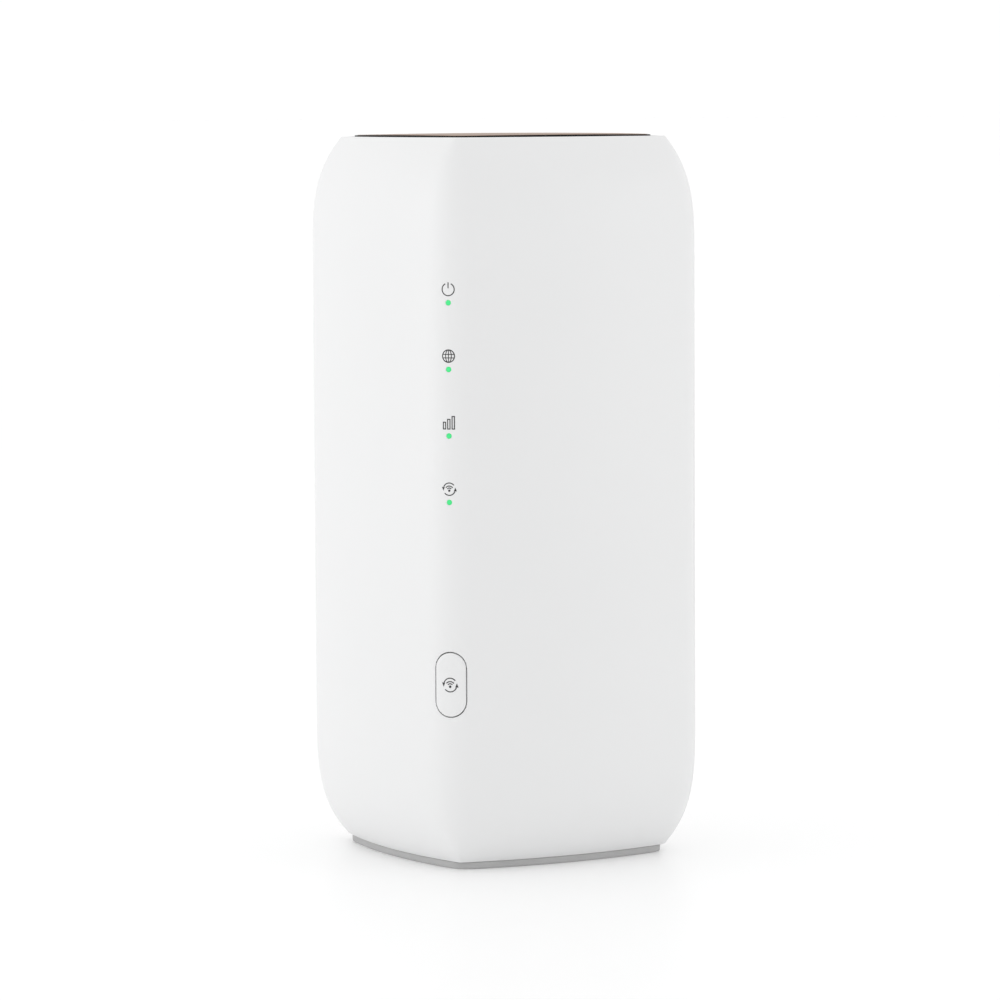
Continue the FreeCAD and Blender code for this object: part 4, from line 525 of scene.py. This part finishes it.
def make_button(finish):
    """The oval cap that follows the housing's corner, its hidden flange, and the stem behind it."""
    radius, straight = BUTTON_WIDTH / 2, (BUTTON_LENGTH - BUTTON_WIDTH) / 2
    edge = [(radius - BUTTON_ROUND * (1 - math.sin(a)), BUTTON_ROUND * (1 - math.cos(a)) - BUTTON_PROUD)
            for a in quarter_turn(4)]
    wide = radius + FLANGE_EXTRA
    levels = [(radius * share, -BUTTON_PROUD) for share in (0.0, 0.3, 0.6, 0.8)]
    levels += [*edge, (radius, FLANGE_DEPTH), (wide, FLANGE_DEPTH), (wide, BUTTON_BACK), (0.0, BUTTON_BACK)]
    bm = bmesh.new()
    rings = []
    for reach, depth in levels:
        spots = [(way.x * reach, BUTTON_HEIGHT + height + way.y * reach)
                 for height, way in oval_rays(straight)]
        rings.append([bm.verts.new(skin(x, z, depth)) for x, z in spots])
    for first, second in zip(rings, rings[1:]):
        bridge(bm, first, second, closed=True)
    front = across(housing(BUTTON_HEIGHT, BUTTON_BACK - STEM_SINK), 0.0)
    stem = [(0, 0), (STEM_RADIUS, 0), (STEM_RADIUS, front - STEM_END), (0, front - STEM_END)]
    lathe(bm, stem, (0, -STEM_END, BUTTON_HEIGHT), (0, -1, 0), sides=32)
    finish_piece("pairing_button_skin", bm, finish, "pairing_button", ("pairing_button",))


PIPE_START, PIPE_RADIUS, PIPE_SINK, LENS_ROUND = 52.0, 1.2, 0.5, 0.18
SPINE_BACK, SPINE_FRONT, SPINE_HALF, SPINE_END, SPINE_ROUND = 56.4, 58.4, 2.0, 3.0, 0.3


def make_light_guide(finish):
    """Four light pipes with softly domed ends, joined by a bar."""
    bm = bmesh.new()
    low = LIGHT_TOP - (LIGHT_COUNT - 1) * LIGHT_PITCH - SPINE_END
    high = LIGHT_TOP + SPINE_END
    soft_box(bm, (-SPINE_HALF, -SPINE_FRONT, low), (SPINE_HALF, -SPINE_BACK, high), SPINE_ROUND)
    length = LENS_FACE - PIPE_START
    tip = [(LIGHT_RADIUS - LENS_ROUND * (1 - math.cos(a)), length - LENS_ROUND * (1 - math.sin(a)))
           for a in quarter_turn(4)]
    root = SPINE_BACK - PIPE_START + PIPE_SINK
    for k in range(LIGHT_COUNT):
        profile = [(0, 0), (PIPE_RADIUS, 0), (PIPE_RADIUS, root), (LIGHT_RADIUS, root), *tip, (0, length)]
        lathe(bm, profile, (0, -PIPE_START, LIGHT_TOP - k * LIGHT_PITCH), (0, -1, 0), sides=32)
    finish_piece("light_guide_skin", bm, finish, replaces=("light_guide",))


# ---------------------------------------------------------------- printed symbols

INK_LIFT, INK_SINK, LINE, THIN_LINE = 0.03, 0.04, 0.32, 0.26
SYMBOL_RISE = 4.15


def ribbon(points, width, closed=False):
    """A flat line of even width through (x, z) points, as two rails of points."""
    count = len(points)
    left, right = [], []
    for k, point in enumerate(points):
        before = points[k - 1] if closed or k else point
        after = points[(k + 1) % count] if closed or k < count - 1 else point
        way = (after - before).normalized()
        normal = Vector((-way.y, way.x)) * width / 2
        left.append(point + normal)
        right.append(point - normal)
    return left, right, closed


def arc_points(centre, radius, start, stop, squash=1.0):
    """Points along an arc, in degrees, about as far apart as the ink is wide."""
    steps = max(6, math.ceil(abs(stop - start) / 9))
    angles = [math.radians(start + (stop - start) * k / steps) for k in range(steps + 1)]
    return [Vector(centre) + Vector((math.cos(a) * radius * squash, math.sin(a) * radius)) for a in angles]


def ring(centre, radius, width, squash=1.0):
    """A drawn circle, or an upright ellipse when it is squashed."""
    return ribbon(arc_points(centre, radius, 0, 360, squash)[:-1], width, closed=True)


def line(start, stop, width):
    """A drawn straight line, with points along it so that it follows the round corner."""
    start, stop = Vector(start), Vector(stop)
    return ribbon([start.lerp(stop, k / 6) for k in range(7)], width)


def spot(centre, radius):
    """A filled disc, as a fan between its upper and lower halves."""
    upper = arc_points(centre, radius, 180, 0)
    lower = arc_points(centre, radius, 180, 360)
    return upper, lower, False


def arrow(tip, tail, half):
    """A filled arrowhead from its tail's middle to its tip."""
    tip, tail = Vector(tip), Vector(tail)
    way = (tip - tail).normalized()
    normal = Vector((-way.y, way.x)) * half
    return [tail + normal, tip + normal * 0.05], [tail - normal, tip - normal * 0.05], False


def print_symbol(name, height, strokes, depth, finish, body):
    """Prints flat strokes, centred on the corner at a height, as a thin film of ink on the skin."""
    bm = bmesh.new()
    for left, right, closed in strokes:
        layers = []
        for lift in (depth - INK_LIFT, depth + INK_SINK):
            layers.append([[bm.verts.new(skin(p.x, height + p.y, lift)) for p in rail]
                           for rail in (left, right)])
        (top_left, top_right), (low_left, low_right) = layers
        bridge(bm, top_left, top_right, closed)
        bridge(bm, low_right, low_left, closed)
        bridge(bm, low_left, top_left, closed)
        bridge(bm, top_right, low_right, closed)
        if not closed:
            for k in (0, -1):
                bm.faces.new((top_left[k], top_right[k], low_right[k], low_left[k]))
    finish_piece(name, bm, finish, body)


def power_symbol():
    """An open circle with an upright bar in its gap."""
    return [ribbon(arc_points((0, 0), 1.95, 117, 423), LINE), line((0, 0.35), (0, 2.2), LINE)]


def globe_symbol():
    """A circle with meridians and parallels."""
    radius, thin = 1.93, THIN_LINE
    chords = [(0.55 * side, math.sqrt(radius**2 - 0.55**2)) for side in (-1, 1)]
    lines = [line((-half, height), (half, height), thin) for height, half in chords]
    return [ring((0, 0), radius, LINE), ring((0, 0), radius, thin, squash=0.48),
            line((0, -radius), (0, radius), thin), *lines]


def signal_symbol():
    """Three outlined bars, each taller than the last."""
    strokes = []
    for k, tall in enumerate((2.1, 3.0, 3.9)):
        left, low = -1.8 + 1.42 * k, -1.95
        right = left + 0.75
        corners = [Vector(c) for c in ((left, low), (right, low), (right, low + tall), (left, low + tall))]
        for start, stop in zip(corners, corners[1:] + corners[:1]):
            reach = (stop - start).normalized() * LINE / 2
            strokes.append(line(start - reach, stop + reach, LINE))
    return strokes


def wireless_symbol(size):
    """A small radio fan inside two turning arrows."""
    fan = [ribbon(arc_points((0, -0.5 * size), r * size, 40, 140), LINE) for r in (0.9, 1.55)]
    turning = [ribbon(arc_points((0, 0), 2.1 * size, start, start + 118), LINE) for start in (40, 220)]
    heads = [arrow((-2.1 * size, -0.5 * size), (-2.1 * size, 0.72 * size), 0.5 * size),
             arrow((2.1 * size, 0.5 * size), (2.1 * size, -0.72 * size), 0.5 * size)]
    return [spot((0, -0.5 * size), 0.4 * size), *fan, *turning, *heads]


def make_symbols(finish):
    """One symbol above each light, and one on the pairing button that rides on it."""
    symbols = (
        ("power", power_symbol()), ("globe", globe_symbol()),
        ("signal", signal_symbol()), ("wireless", wireless_symbol(0.92)))
    for k, (name, strokes) in enumerate(symbols):
        height = LIGHT_TOP - k * LIGHT_PITCH + SYMBOL_RISE
        print_symbol(f"symbol_{name}", height, strokes, 0.0, finish, BODY)
    print_symbol("symbol_pairing", BUTTON_HEIGHT, wireless_symbol(1.02), -BUTTON_PROUD, finish,
                 "pairing_button")


# ---------------------------------------------------------------- antenna cover

WEB_LOW, WEB_HIGH, WEB_START = HINGE_Z - 1.6, HINGE_Z + 0.8, HINGE_Y + 1.0
SPACING, FINE_SPACING = 2.5, 1.5
COVER_SHARES = (0.0, 0.25, 0.5, 0.75, 0.92)


def cover_outline():
    """(x, z) points round the cover: a narrow neck at the hinge, shoulders and a rounded top."""
    half, top = WINDOW_WIDTH / 2 - COVER_GAP, WINDOW_HIGH - COVER_GAP
    inside = half - WINDOW_CORNER
    shoulder = math.degrees(math.acos((COVER_NECK - inside) / WINDOW_CORNER))
    right = arc_points((inside, COVER_STEP + WINDOW_CORNER), WINDOW_CORNER, -shoulder, 0)
    side = filled([COVER_STEP + WINDOW_CORNER, top - WINDOW_CORNER], SPACING)[1:-1]
    right += [Vector((half, z)) for z in side]
    right += arc_points((inside, top - WINDOW_CORNER), WINDOW_CORNER, 0, 90)
    neck = [Vector((COVER_NECK, z)) for z in filled([COVER_LOW, right[0].y], FINE_SPACING)[:-1]]
    right = neck + right
    low = [Vector((x, COVER_LOW)) for x in filled([-COVER_NECK, COVER_NECK], SPACING)[1:-1]]
    high = [Vector((x, top)) for x in reversed(filled([-inside, inside], SPACING)[1:-1])]
    left = [Vector((-p.x, p.y)) for p in reversed(right)]
    return right + high + left + low


def drawn_in(points, distance):
    """A closed outline moved inwards, square to itself."""
    moved = []
    for k, point in enumerate(points):
        way = (points[(k + 1) % len(points)] - points[k - 1]).normalized()
        moved.append(point + Vector((-way.y, way.x)) * distance)
    return moved


def cover_hinge(bm):
    """The barrel on the hinge's axis, and the web that joins it to the cover's skin."""
    wide, soft = 2 * COVER_NECK, HOLE_ROUND
    barrel = [(HINGE_BORE, 0), (KNUCKLE - soft, 0), (KNUCKLE, soft), (KNUCKLE, wide - soft),
              (KNUCKLE - soft, wide), (HINGE_BORE, wide), (HINGE_BORE, 0)]
    lathe(bm, barrel, (-COVER_NECK, HINGE_Y, HINGE_Z), (1, 0, 0))
    sections = []
    for x in filled([-COVER_NECK + 0.1, COVER_NECK - 0.1], FINE_SPACING):
        end = across(housing(HINGE_Z, COVER_THICK / 2), x)
        corners = ((WEB_START, WEB_LOW), (end, WEB_LOW), (end, WEB_HIGH), (WEB_START, WEB_HIGH))
        sections.append([bm.verts.new(Vector((x, y, z)) * MM) for y, z in corners])
    for first, second in zip(sections, sections[1:]):
        bridge(bm, first, second, closed=True)
    bm.faces.new(sections[0])
    bm.faces.new(sections[-1])


def make_cover(finish):
    """The cover over the antenna sockets: a skin that follows the rear corner, and its hinge."""
    outline = cover_outline()
    spine = [Vector((0, min(max(p.y, COVER_STEP + 4), WINDOW_HIGH - 8))) for p in outline]
    soft = SEAM_ROUND

    def inner_rings(depth, order):
        """Rings at one depth that spread from the cover's spine to its edge."""
        edge = drawn_in(outline, soft)
        return [([middle.lerp(p, share) for middle, p in zip(spine, edge)], depth) for share in order]

    levels = inner_rings(0.0, COVER_SHARES)
    levels += [(drawn_in(outline, soft * (1 - math.sin(a))), soft * (1 - math.cos(a)))
               for a in quarter_turn(3)]
    levels += [(drawn_in(outline, soft * (1 - math.cos(a))), COVER_THICK - soft * (1 - math.sin(a)))
               for a in quarter_turn(3)]
    levels += inner_rings(COVER_THICK, reversed(COVER_SHARES))
    bm = bmesh.new()
    rings = [[bm.verts.new(skin(p.x, p.y, depth, rear=True)) for p in points] for points, depth in levels]
    for first, second in zip(rings, rings[1:]):
        bridge(bm, first, second, closed=True)
    cover_hinge(bm)
    finish_piece("antenna_cover_skin", bm, finish, "antenna_cover", ("antenna_cover",))


# ---------------------------------------------------------------- finishes


def shade(material, colour, spread, cloud, roughness, uneven, grain, relief, stretch):
    """Gives the shader uneven colour and gloss from a slow noise, and a grain from a fine one."""
    nodes, links = material.node_tree.nodes, material.node_tree.links
    shader = nodes["Principled BSDF"]
    place = nodes.new("ShaderNodeTexCoord").outputs["Object"]
    slow = nodes.new("ShaderNodeTexNoise")
    slow.inputs["Scale"].default_value = 1 / (cloud * MM)
    slow.inputs["Detail"].default_value = 3.0
    links.new(place, slow.inputs["Vector"])

    tint = nodes.new("ShaderNodeValToRGB")
    for element, side in zip(tint.color_ramp.elements, (-1, 1)):
        element.position = 0.5 + 0.22 * side
        element.color = (*(channel * (1 + spread * side) for channel in colour), 1)
    links.new(slow.outputs["Fac"], tint.inputs["Fac"])
    links.new(tint.outputs["Color"], shader.inputs["Base Color"])

    gloss = nodes.new("ShaderNodeMapRange")
    gloss.inputs["From Min"].default_value = 0.3
    gloss.inputs["From Max"].default_value = 0.7
    gloss.inputs["To Min"].default_value = roughness - uneven
    gloss.inputs["To Max"].default_value = roughness + uneven
    links.new(slow.outputs["Fac"], gloss.inputs["Value"])
    links.new(gloss.outputs["Result"], shader.inputs["Roughness"])

    turned = nodes.new("ShaderNodeMapping")
    turned.inputs["Scale"].default_value = stretch
    links.new(place, turned.inputs["Vector"])
    fine = nodes.new("ShaderNodeTexNoise")
    fine.inputs["Scale"].default_value = 1 / (grain * MM)
    fine.inputs["Detail"].default_value = 2.0
    links.new(turned.outputs["Vector"], fine.inputs["Vector"])
    bump = nodes.new("ShaderNodeBump")
    bump.inputs["Distance"].default_value = relief * MM
    links.new(fine.outputs["Fac"], bump.inputs["Height"])
    links.new(bump.outputs["Normal"], shader.inputs["Normal"])
    return shader


def surface(name, colour, spread=0.03, cloud=12.0, roughness=0.5, uneven=0.06, grain=0.3, relief=0.01,
            stretch=(1, 1, 1), **fixed):
    """A procedural finish. Values that are the same all over are set on the shader's own sockets."""
    material = bpy.data.materials.new(name)
    material.use_nodes = True
    shader = shade(material, colour, spread, cloud, roughness, uneven, grain, relief, stretch)
    for socket, value in fixed.items():
        shader.inputs[socket.replace("_", " ")].default_value = value
    return material


def traced_board(name):
    """Solder mask over copper: the tracks show as a paler pattern."""
    material = surface(name, (0.012, 0.10, 0.045), roughness=0.35, uneven=0.04, grain=0.5)
    nodes, links = material.node_tree.nodes, material.node_tree.links
    shader = nodes["Principled BSDF"]
    place = nodes.new("ShaderNodeTexCoord").outputs["Object"]
    upright = nodes.new("ShaderNodeMapping")
    upright.inputs["Rotation"].default_value = (0, math.radians(90), 0)
    links.new(place, upright.inputs["Vector"])
    tracks = nodes.new("ShaderNodeTexBrick")
    tracks.inputs["Scale"].default_value = 1.0
    tracks.inputs["Brick Width"].default_value = 9 * MM
    tracks.inputs["Row Height"].default_value = 1.3 * MM
    tracks.inputs["Mortar Size"].default_value = 0.25 * MM
    tracks.inputs["Color1"].default_value = (0.012, 0.10, 0.045, 1)
    tracks.inputs["Color2"].default_value = (0.016, 0.12, 0.05, 1)
    tracks.inputs["Mortar"].default_value = (0.05, 0.24, 0.09, 1)
    links.new(upright.outputs["Vector"], tracks.inputs["Vector"])
    links.new(tracks.outputs["Color"], shader.inputs["Base Color"])
    return material


def lit_plastic(name, colour, strength):
    """Clear plastic that glows: brightest in the middle of the moulding's noise, never even."""
    material = surface(name, colour, spread=0.05, cloud=2.0, roughness=0.3, grain=0.2, relief=0.002)
    nodes, links = material.node_tree.nodes, material.node_tree.links
    shader = nodes["Principled BSDF"]
    links.new(nodes["Color Ramp"].outputs["Color"], shader.inputs["Emission Color"])
    shader.inputs["Emission Strength"].default_value = strength
    return material


WHITE = (0.825, 0.828, 0.83)
BRUSHED = {"Metallic": 1.0, "stretch": (1, 1, 12), "grain": 0.4, "relief": 0.006}


def make_finishes():
    """One finish for each of the record's material slots, and the ink, which has none."""
    plain = {
        "shell_white": dict(colour=WHITE, spread=0.006, cloud=60.0, roughness=0.38, uneven=0.03, grain=0.35,
                            relief=0.0015),
        "base_white": dict(colour=(0.72, 0.72, 0.72), roughness=0.6, uneven=0.05, grain=0.45, relief=0.012),
        "panel_grey": dict(colour=(0.66, 0.66, 0.67), roughness=0.55, uneven=0.05, grain=0.45,
                           relief=0.012),
        "foot_grey": dict(colour=(0.46, 0.46, 0.46), roughness=0.75, uneven=0.05, grain=0.3, relief=0.02),
        "cap_copper": dict(colour=(0.33, 0.215, 0.15), spread=0.012, cloud=60.0, roughness=0.42,
                           uneven=0.02, stretch=(1, 10, 1), grain=0.8, relief=0.0005, Metallic=0.15,
                           Specular_IOR_Level=0.2),
        "cap_black": dict(colour=(0.012, 0.012, 0.013), roughness=0.45, uneven=0.03, grain=0.5,
                          relief=0.001, Specular_IOR_Level=0.15),
        "grille_black": dict(colour=(0.02, 0.02, 0.022), roughness=0.6, grain=0.4, relief=0.015),
        "chassis_grey": dict(colour=(0.10, 0.105, 0.11), roughness=0.6, grain=0.4, relief=0.015),
        "steel": dict(colour=(0.55, 0.55, 0.56), roughness=0.3, **BRUSHED),
        "can_tin": dict(colour=(0.62, 0.62, 0.60), roughness=0.33, **BRUSHED),
        "can_alu": dict(colour=(0.68, 0.68, 0.70), roughness=0.28, **BRUSHED),
        "heatsink_alu": dict(colour=(0.60, 0.61, 0.62), roughness=0.38, **BRUSHED),
        "copper": dict(colour=(0.72, 0.38, 0.24), roughness=0.32, **BRUSHED),
        "gold": dict(colour=(0.83, 0.60, 0.24), roughness=0.22, **BRUSHED),
        "antenna_laminate": dict(colour=(0.62, 0.58, 0.46), spread=0.08, cloud=4.0, roughness=0.5),
        "switch_black": dict(colour=(0.018, 0.018, 0.018), roughness=0.5),
        "connector_black": dict(colour=(0.022, 0.022, 0.024), roughness=0.48),
        "chip_black": dict(colour=(0.03, 0.03, 0.032), roughness=0.65, grain=0.15, relief=0.01),
        "switch_key": dict(colour=(0.55, 0.50, 0.42), roughness=0.5),
        "ribbon_white": dict(colour=(0.74, 0.72, 0.66), roughness=0.42, stretch=(1, 1, 20), grain=4.0,
                             relief=0.03),
        "connector_beige": dict(colour=(0.70, 0.61, 0.43), roughness=0.5),
        "pad_blue": dict(colour=(0.20, 0.34, 0.52), spread=0.06, roughness=0.85, grain=0.6, relief=0.03),
        "ferrite": dict(colour=(0.05, 0.047, 0.044), roughness=0.7, grain=0.2, relief=0.02),
        "cable_grey": dict(colour=(0.05, 0.05, 0.053), roughness=0.5, grain=0.4, relief=0.01),
        "ink": dict(colour=(0.030, 0.030, 0.032), spread=0.1, cloud=1.0, roughness=0.5, grain=0.15,
                    relief=0.004),
    }
    finishes = {slot: surface(slot + "_finish", **values) for slot, values in plain.items()}
    finishes["board_green"] = traced_board("board_green_finish")
    finishes["led"] = lit_plastic("led_finish", (0.25, 0.85, 0.45), 1.2)
    finishes["light_pipe"] = lit_plastic("light_pipe_finish", (0.04, 0.58, 0.18), 0.48)
    return finishes


SHARP_NODES = {
    "socket_panel": 0.2, "power_button": 0.35, "base_plate": 0.2, "card_door": 0.2, "top_grille": 0.2,
    "lower_tray": 0.3, "upper_tray": 0.3, "front_carrier": 0.3, "lan_lower_insert": 0.12,
    "lan_upper_insert": 0.12, "main_heatsink": 0.15, "modem_heatsink": 0.15, "processor_shield": 0.15,
    "radio_shield": 0.15, "modem_shield": 0.15, "power_socket": 0.15, "antenna_socket_nuts": 0.15,
}


def soften(node, edge):
    """Rounds a CAD node's sharp edges with modifiers, which leave its mesh as it was packed."""
    merge = node.modifiers.new("merge_flats", "DECIMATE")
    merge.decimate_type = "DISSOLVE"
    merge.angle_limit = math.radians(0.5)
    bevel = node.modifiers.new("soft_edges", "BEVEL")
    bevel.width = edge * MM
    bevel.segments = 2
    bevel.limit_method = "ANGLE"
    bevel.angle_limit = math.radians(40)
    bevel.harden_normals = True


def dress_nodes(finishes):
    """Every CAD node that stays takes the finish of its material slot."""
    rebuilt = {name_of_node(o.name) for o in bpy.context.scene.objects if o.name.endswith("_skin")}
    for part in frame["record"]["subparts"]:
        node = frame["nodes"][part["node"]]
        if node.name in rebuilt:
            continue
        node.data.materials.clear()
        node.data.materials.append(finishes[part["material_slot"]])
        if node.name in SHARP_NODES:
            soften(node, SHARP_NODES[node.name])


# ---------------------------------------------------------------- studio

CAMERA_AROUND, CAMERA_LOOK, CAMERA_TILT, CAMERA_ROLL = 15.45, 15.49, 4.677, -0.297
CAMERA_REACH, CAMERA_RISE, CAMERA_LENS = 1579.0, 241.8, 176.36
LIGHT_SIZE, LIGHT_REACH, LIGHT_RISE = 1.0, 1.7, 0.5


def make_camera():
    """The photograph's view: a long lens, a little above the router's middle, on its left front."""
    camera = bpy.data.cameras.new("camera")
    camera.lens, camera.sensor_width = CAMERA_LENS, 36.0
    camera.clip_start, camera.clip_end = 0.05, 100.0
    around = math.radians(CAMERA_AROUND)
    item = bpy.data.objects.new("camera", camera)
    item.location = Vector((math.sin(around), -math.cos(around), 0)) * CAMERA_REACH * MM
    item.location.z = CAMERA_RISE * MM
    turn = Matrix.Rotation(math.radians(CAMERA_LOOK), 3, "Z")
    tilt = Matrix.Rotation(math.radians(90 - CAMERA_TILT), 3, "X")
    roll = Matrix.Rotation(math.radians(CAMERA_ROLL), 3, "Z")
    item.rotation_euler = (turn @ tilt @ roll).to_euler()
    bpy.context.scene.collection.objects.link(item)
    bpy.context.scene.camera = item


def make_light(name, around, power):
    """A square soft box that faces the router's middle, some way round from its front corner."""
    lamp = bpy.data.lights.new(name, "AREA")
    lamp.size, lamp.energy = LIGHT_SIZE, power
    item = bpy.data.objects.new(name, lamp)
    turn = math.radians(around)
    item.location = (LIGHT_REACH * math.sin(turn), -LIGHT_REACH * math.cos(turn), LIGHT_RISE)
    aim = Vector((0, 0, RIM_HEIGHT / 2 * MM)) - item.location
    item.rotation_euler = aim.to_track_quat("-Z", "Y").to_euler()
    bpy.context.scene.collection.objects.link(item)


SKY_BACK, SKY_FRONT = 1.02, 0.78


def make_world():
    """White studio walls that are darker on the camera's side."""
    world = bpy.data.worlds.new("studio")
    bpy.context.scene.world = world
    world.use_nodes = True
    nodes, links = world.node_tree.nodes, world.node_tree.links
    way = nodes.new("ShaderNodeSeparateXYZ")
    links.new(nodes.new("ShaderNodeTexCoord").outputs["Generated"], way.inputs["Vector"])
    fade = nodes.new("ShaderNodeMapRange")
    fade.interpolation_type = "SMOOTHSTEP"
    fade.inputs["From Min"].default_value = -1.0
    fade.inputs["From Max"].default_value = 0.1
    fade.inputs["To Min"].default_value = SKY_FRONT
    fade.inputs["To Max"].default_value = SKY_BACK
    links.new(way.outputs["Y"], fade.inputs["Value"])
    links.new(fade.outputs["Result"], nodes["Background"].inputs["Strength"])
    nodes["Background"].inputs["Color"].default_value = (1, 1, 1, 1)


def make_floor():
    """A white light table that reaches past the camera."""
    bm = bmesh.new()
    bmesh.ops.create_circle(bm, cap_ends=True, segments=96, radius=60.0)
    mesh = bpy.data.meshes.new("table_top")
    bm.to_mesh(mesh)
    bm.free()
    mesh.materials.append(surface("table_finish", (0.93, 0.93, 0.93), spread=0.004, cloud=400.0,
                                  roughness=0.35, uneven=0.01, grain=3.0, relief=0.0,
                                  Emission_Color=(1, 1, 1, 1), Emission_Strength=0.08))
    top = bpy.data.objects.new("table_top", mesh)
    bpy.context.scene.collection.objects.link(top)


def make_studio():
    """Everything round the router: walls, table, soft boxes and camera."""
    bpy.context.scene.view_settings.view_transform = "Standard"
    make_world()
    make_floor()
    make_light("key", -60, 3.4)
    make_light("front", -35, 1.5)
    make_light("fill", 90, 1.75)
    make_camera()


# ---------------------------------------------------------------- the router

finishes = make_finishes()
make_shells(finishes["shell_white"])
make_foot(finishes["foot_grey"])
make_cap(finishes["cap_black"], finishes["cap_copper"])
make_button(finishes["shell_white"])
make_light_guide(finishes["light_pipe"])
make_symbols(finishes["ink"])
make_cover(finishes["shell_white"])
dress_nodes(finishes)
make_studio()
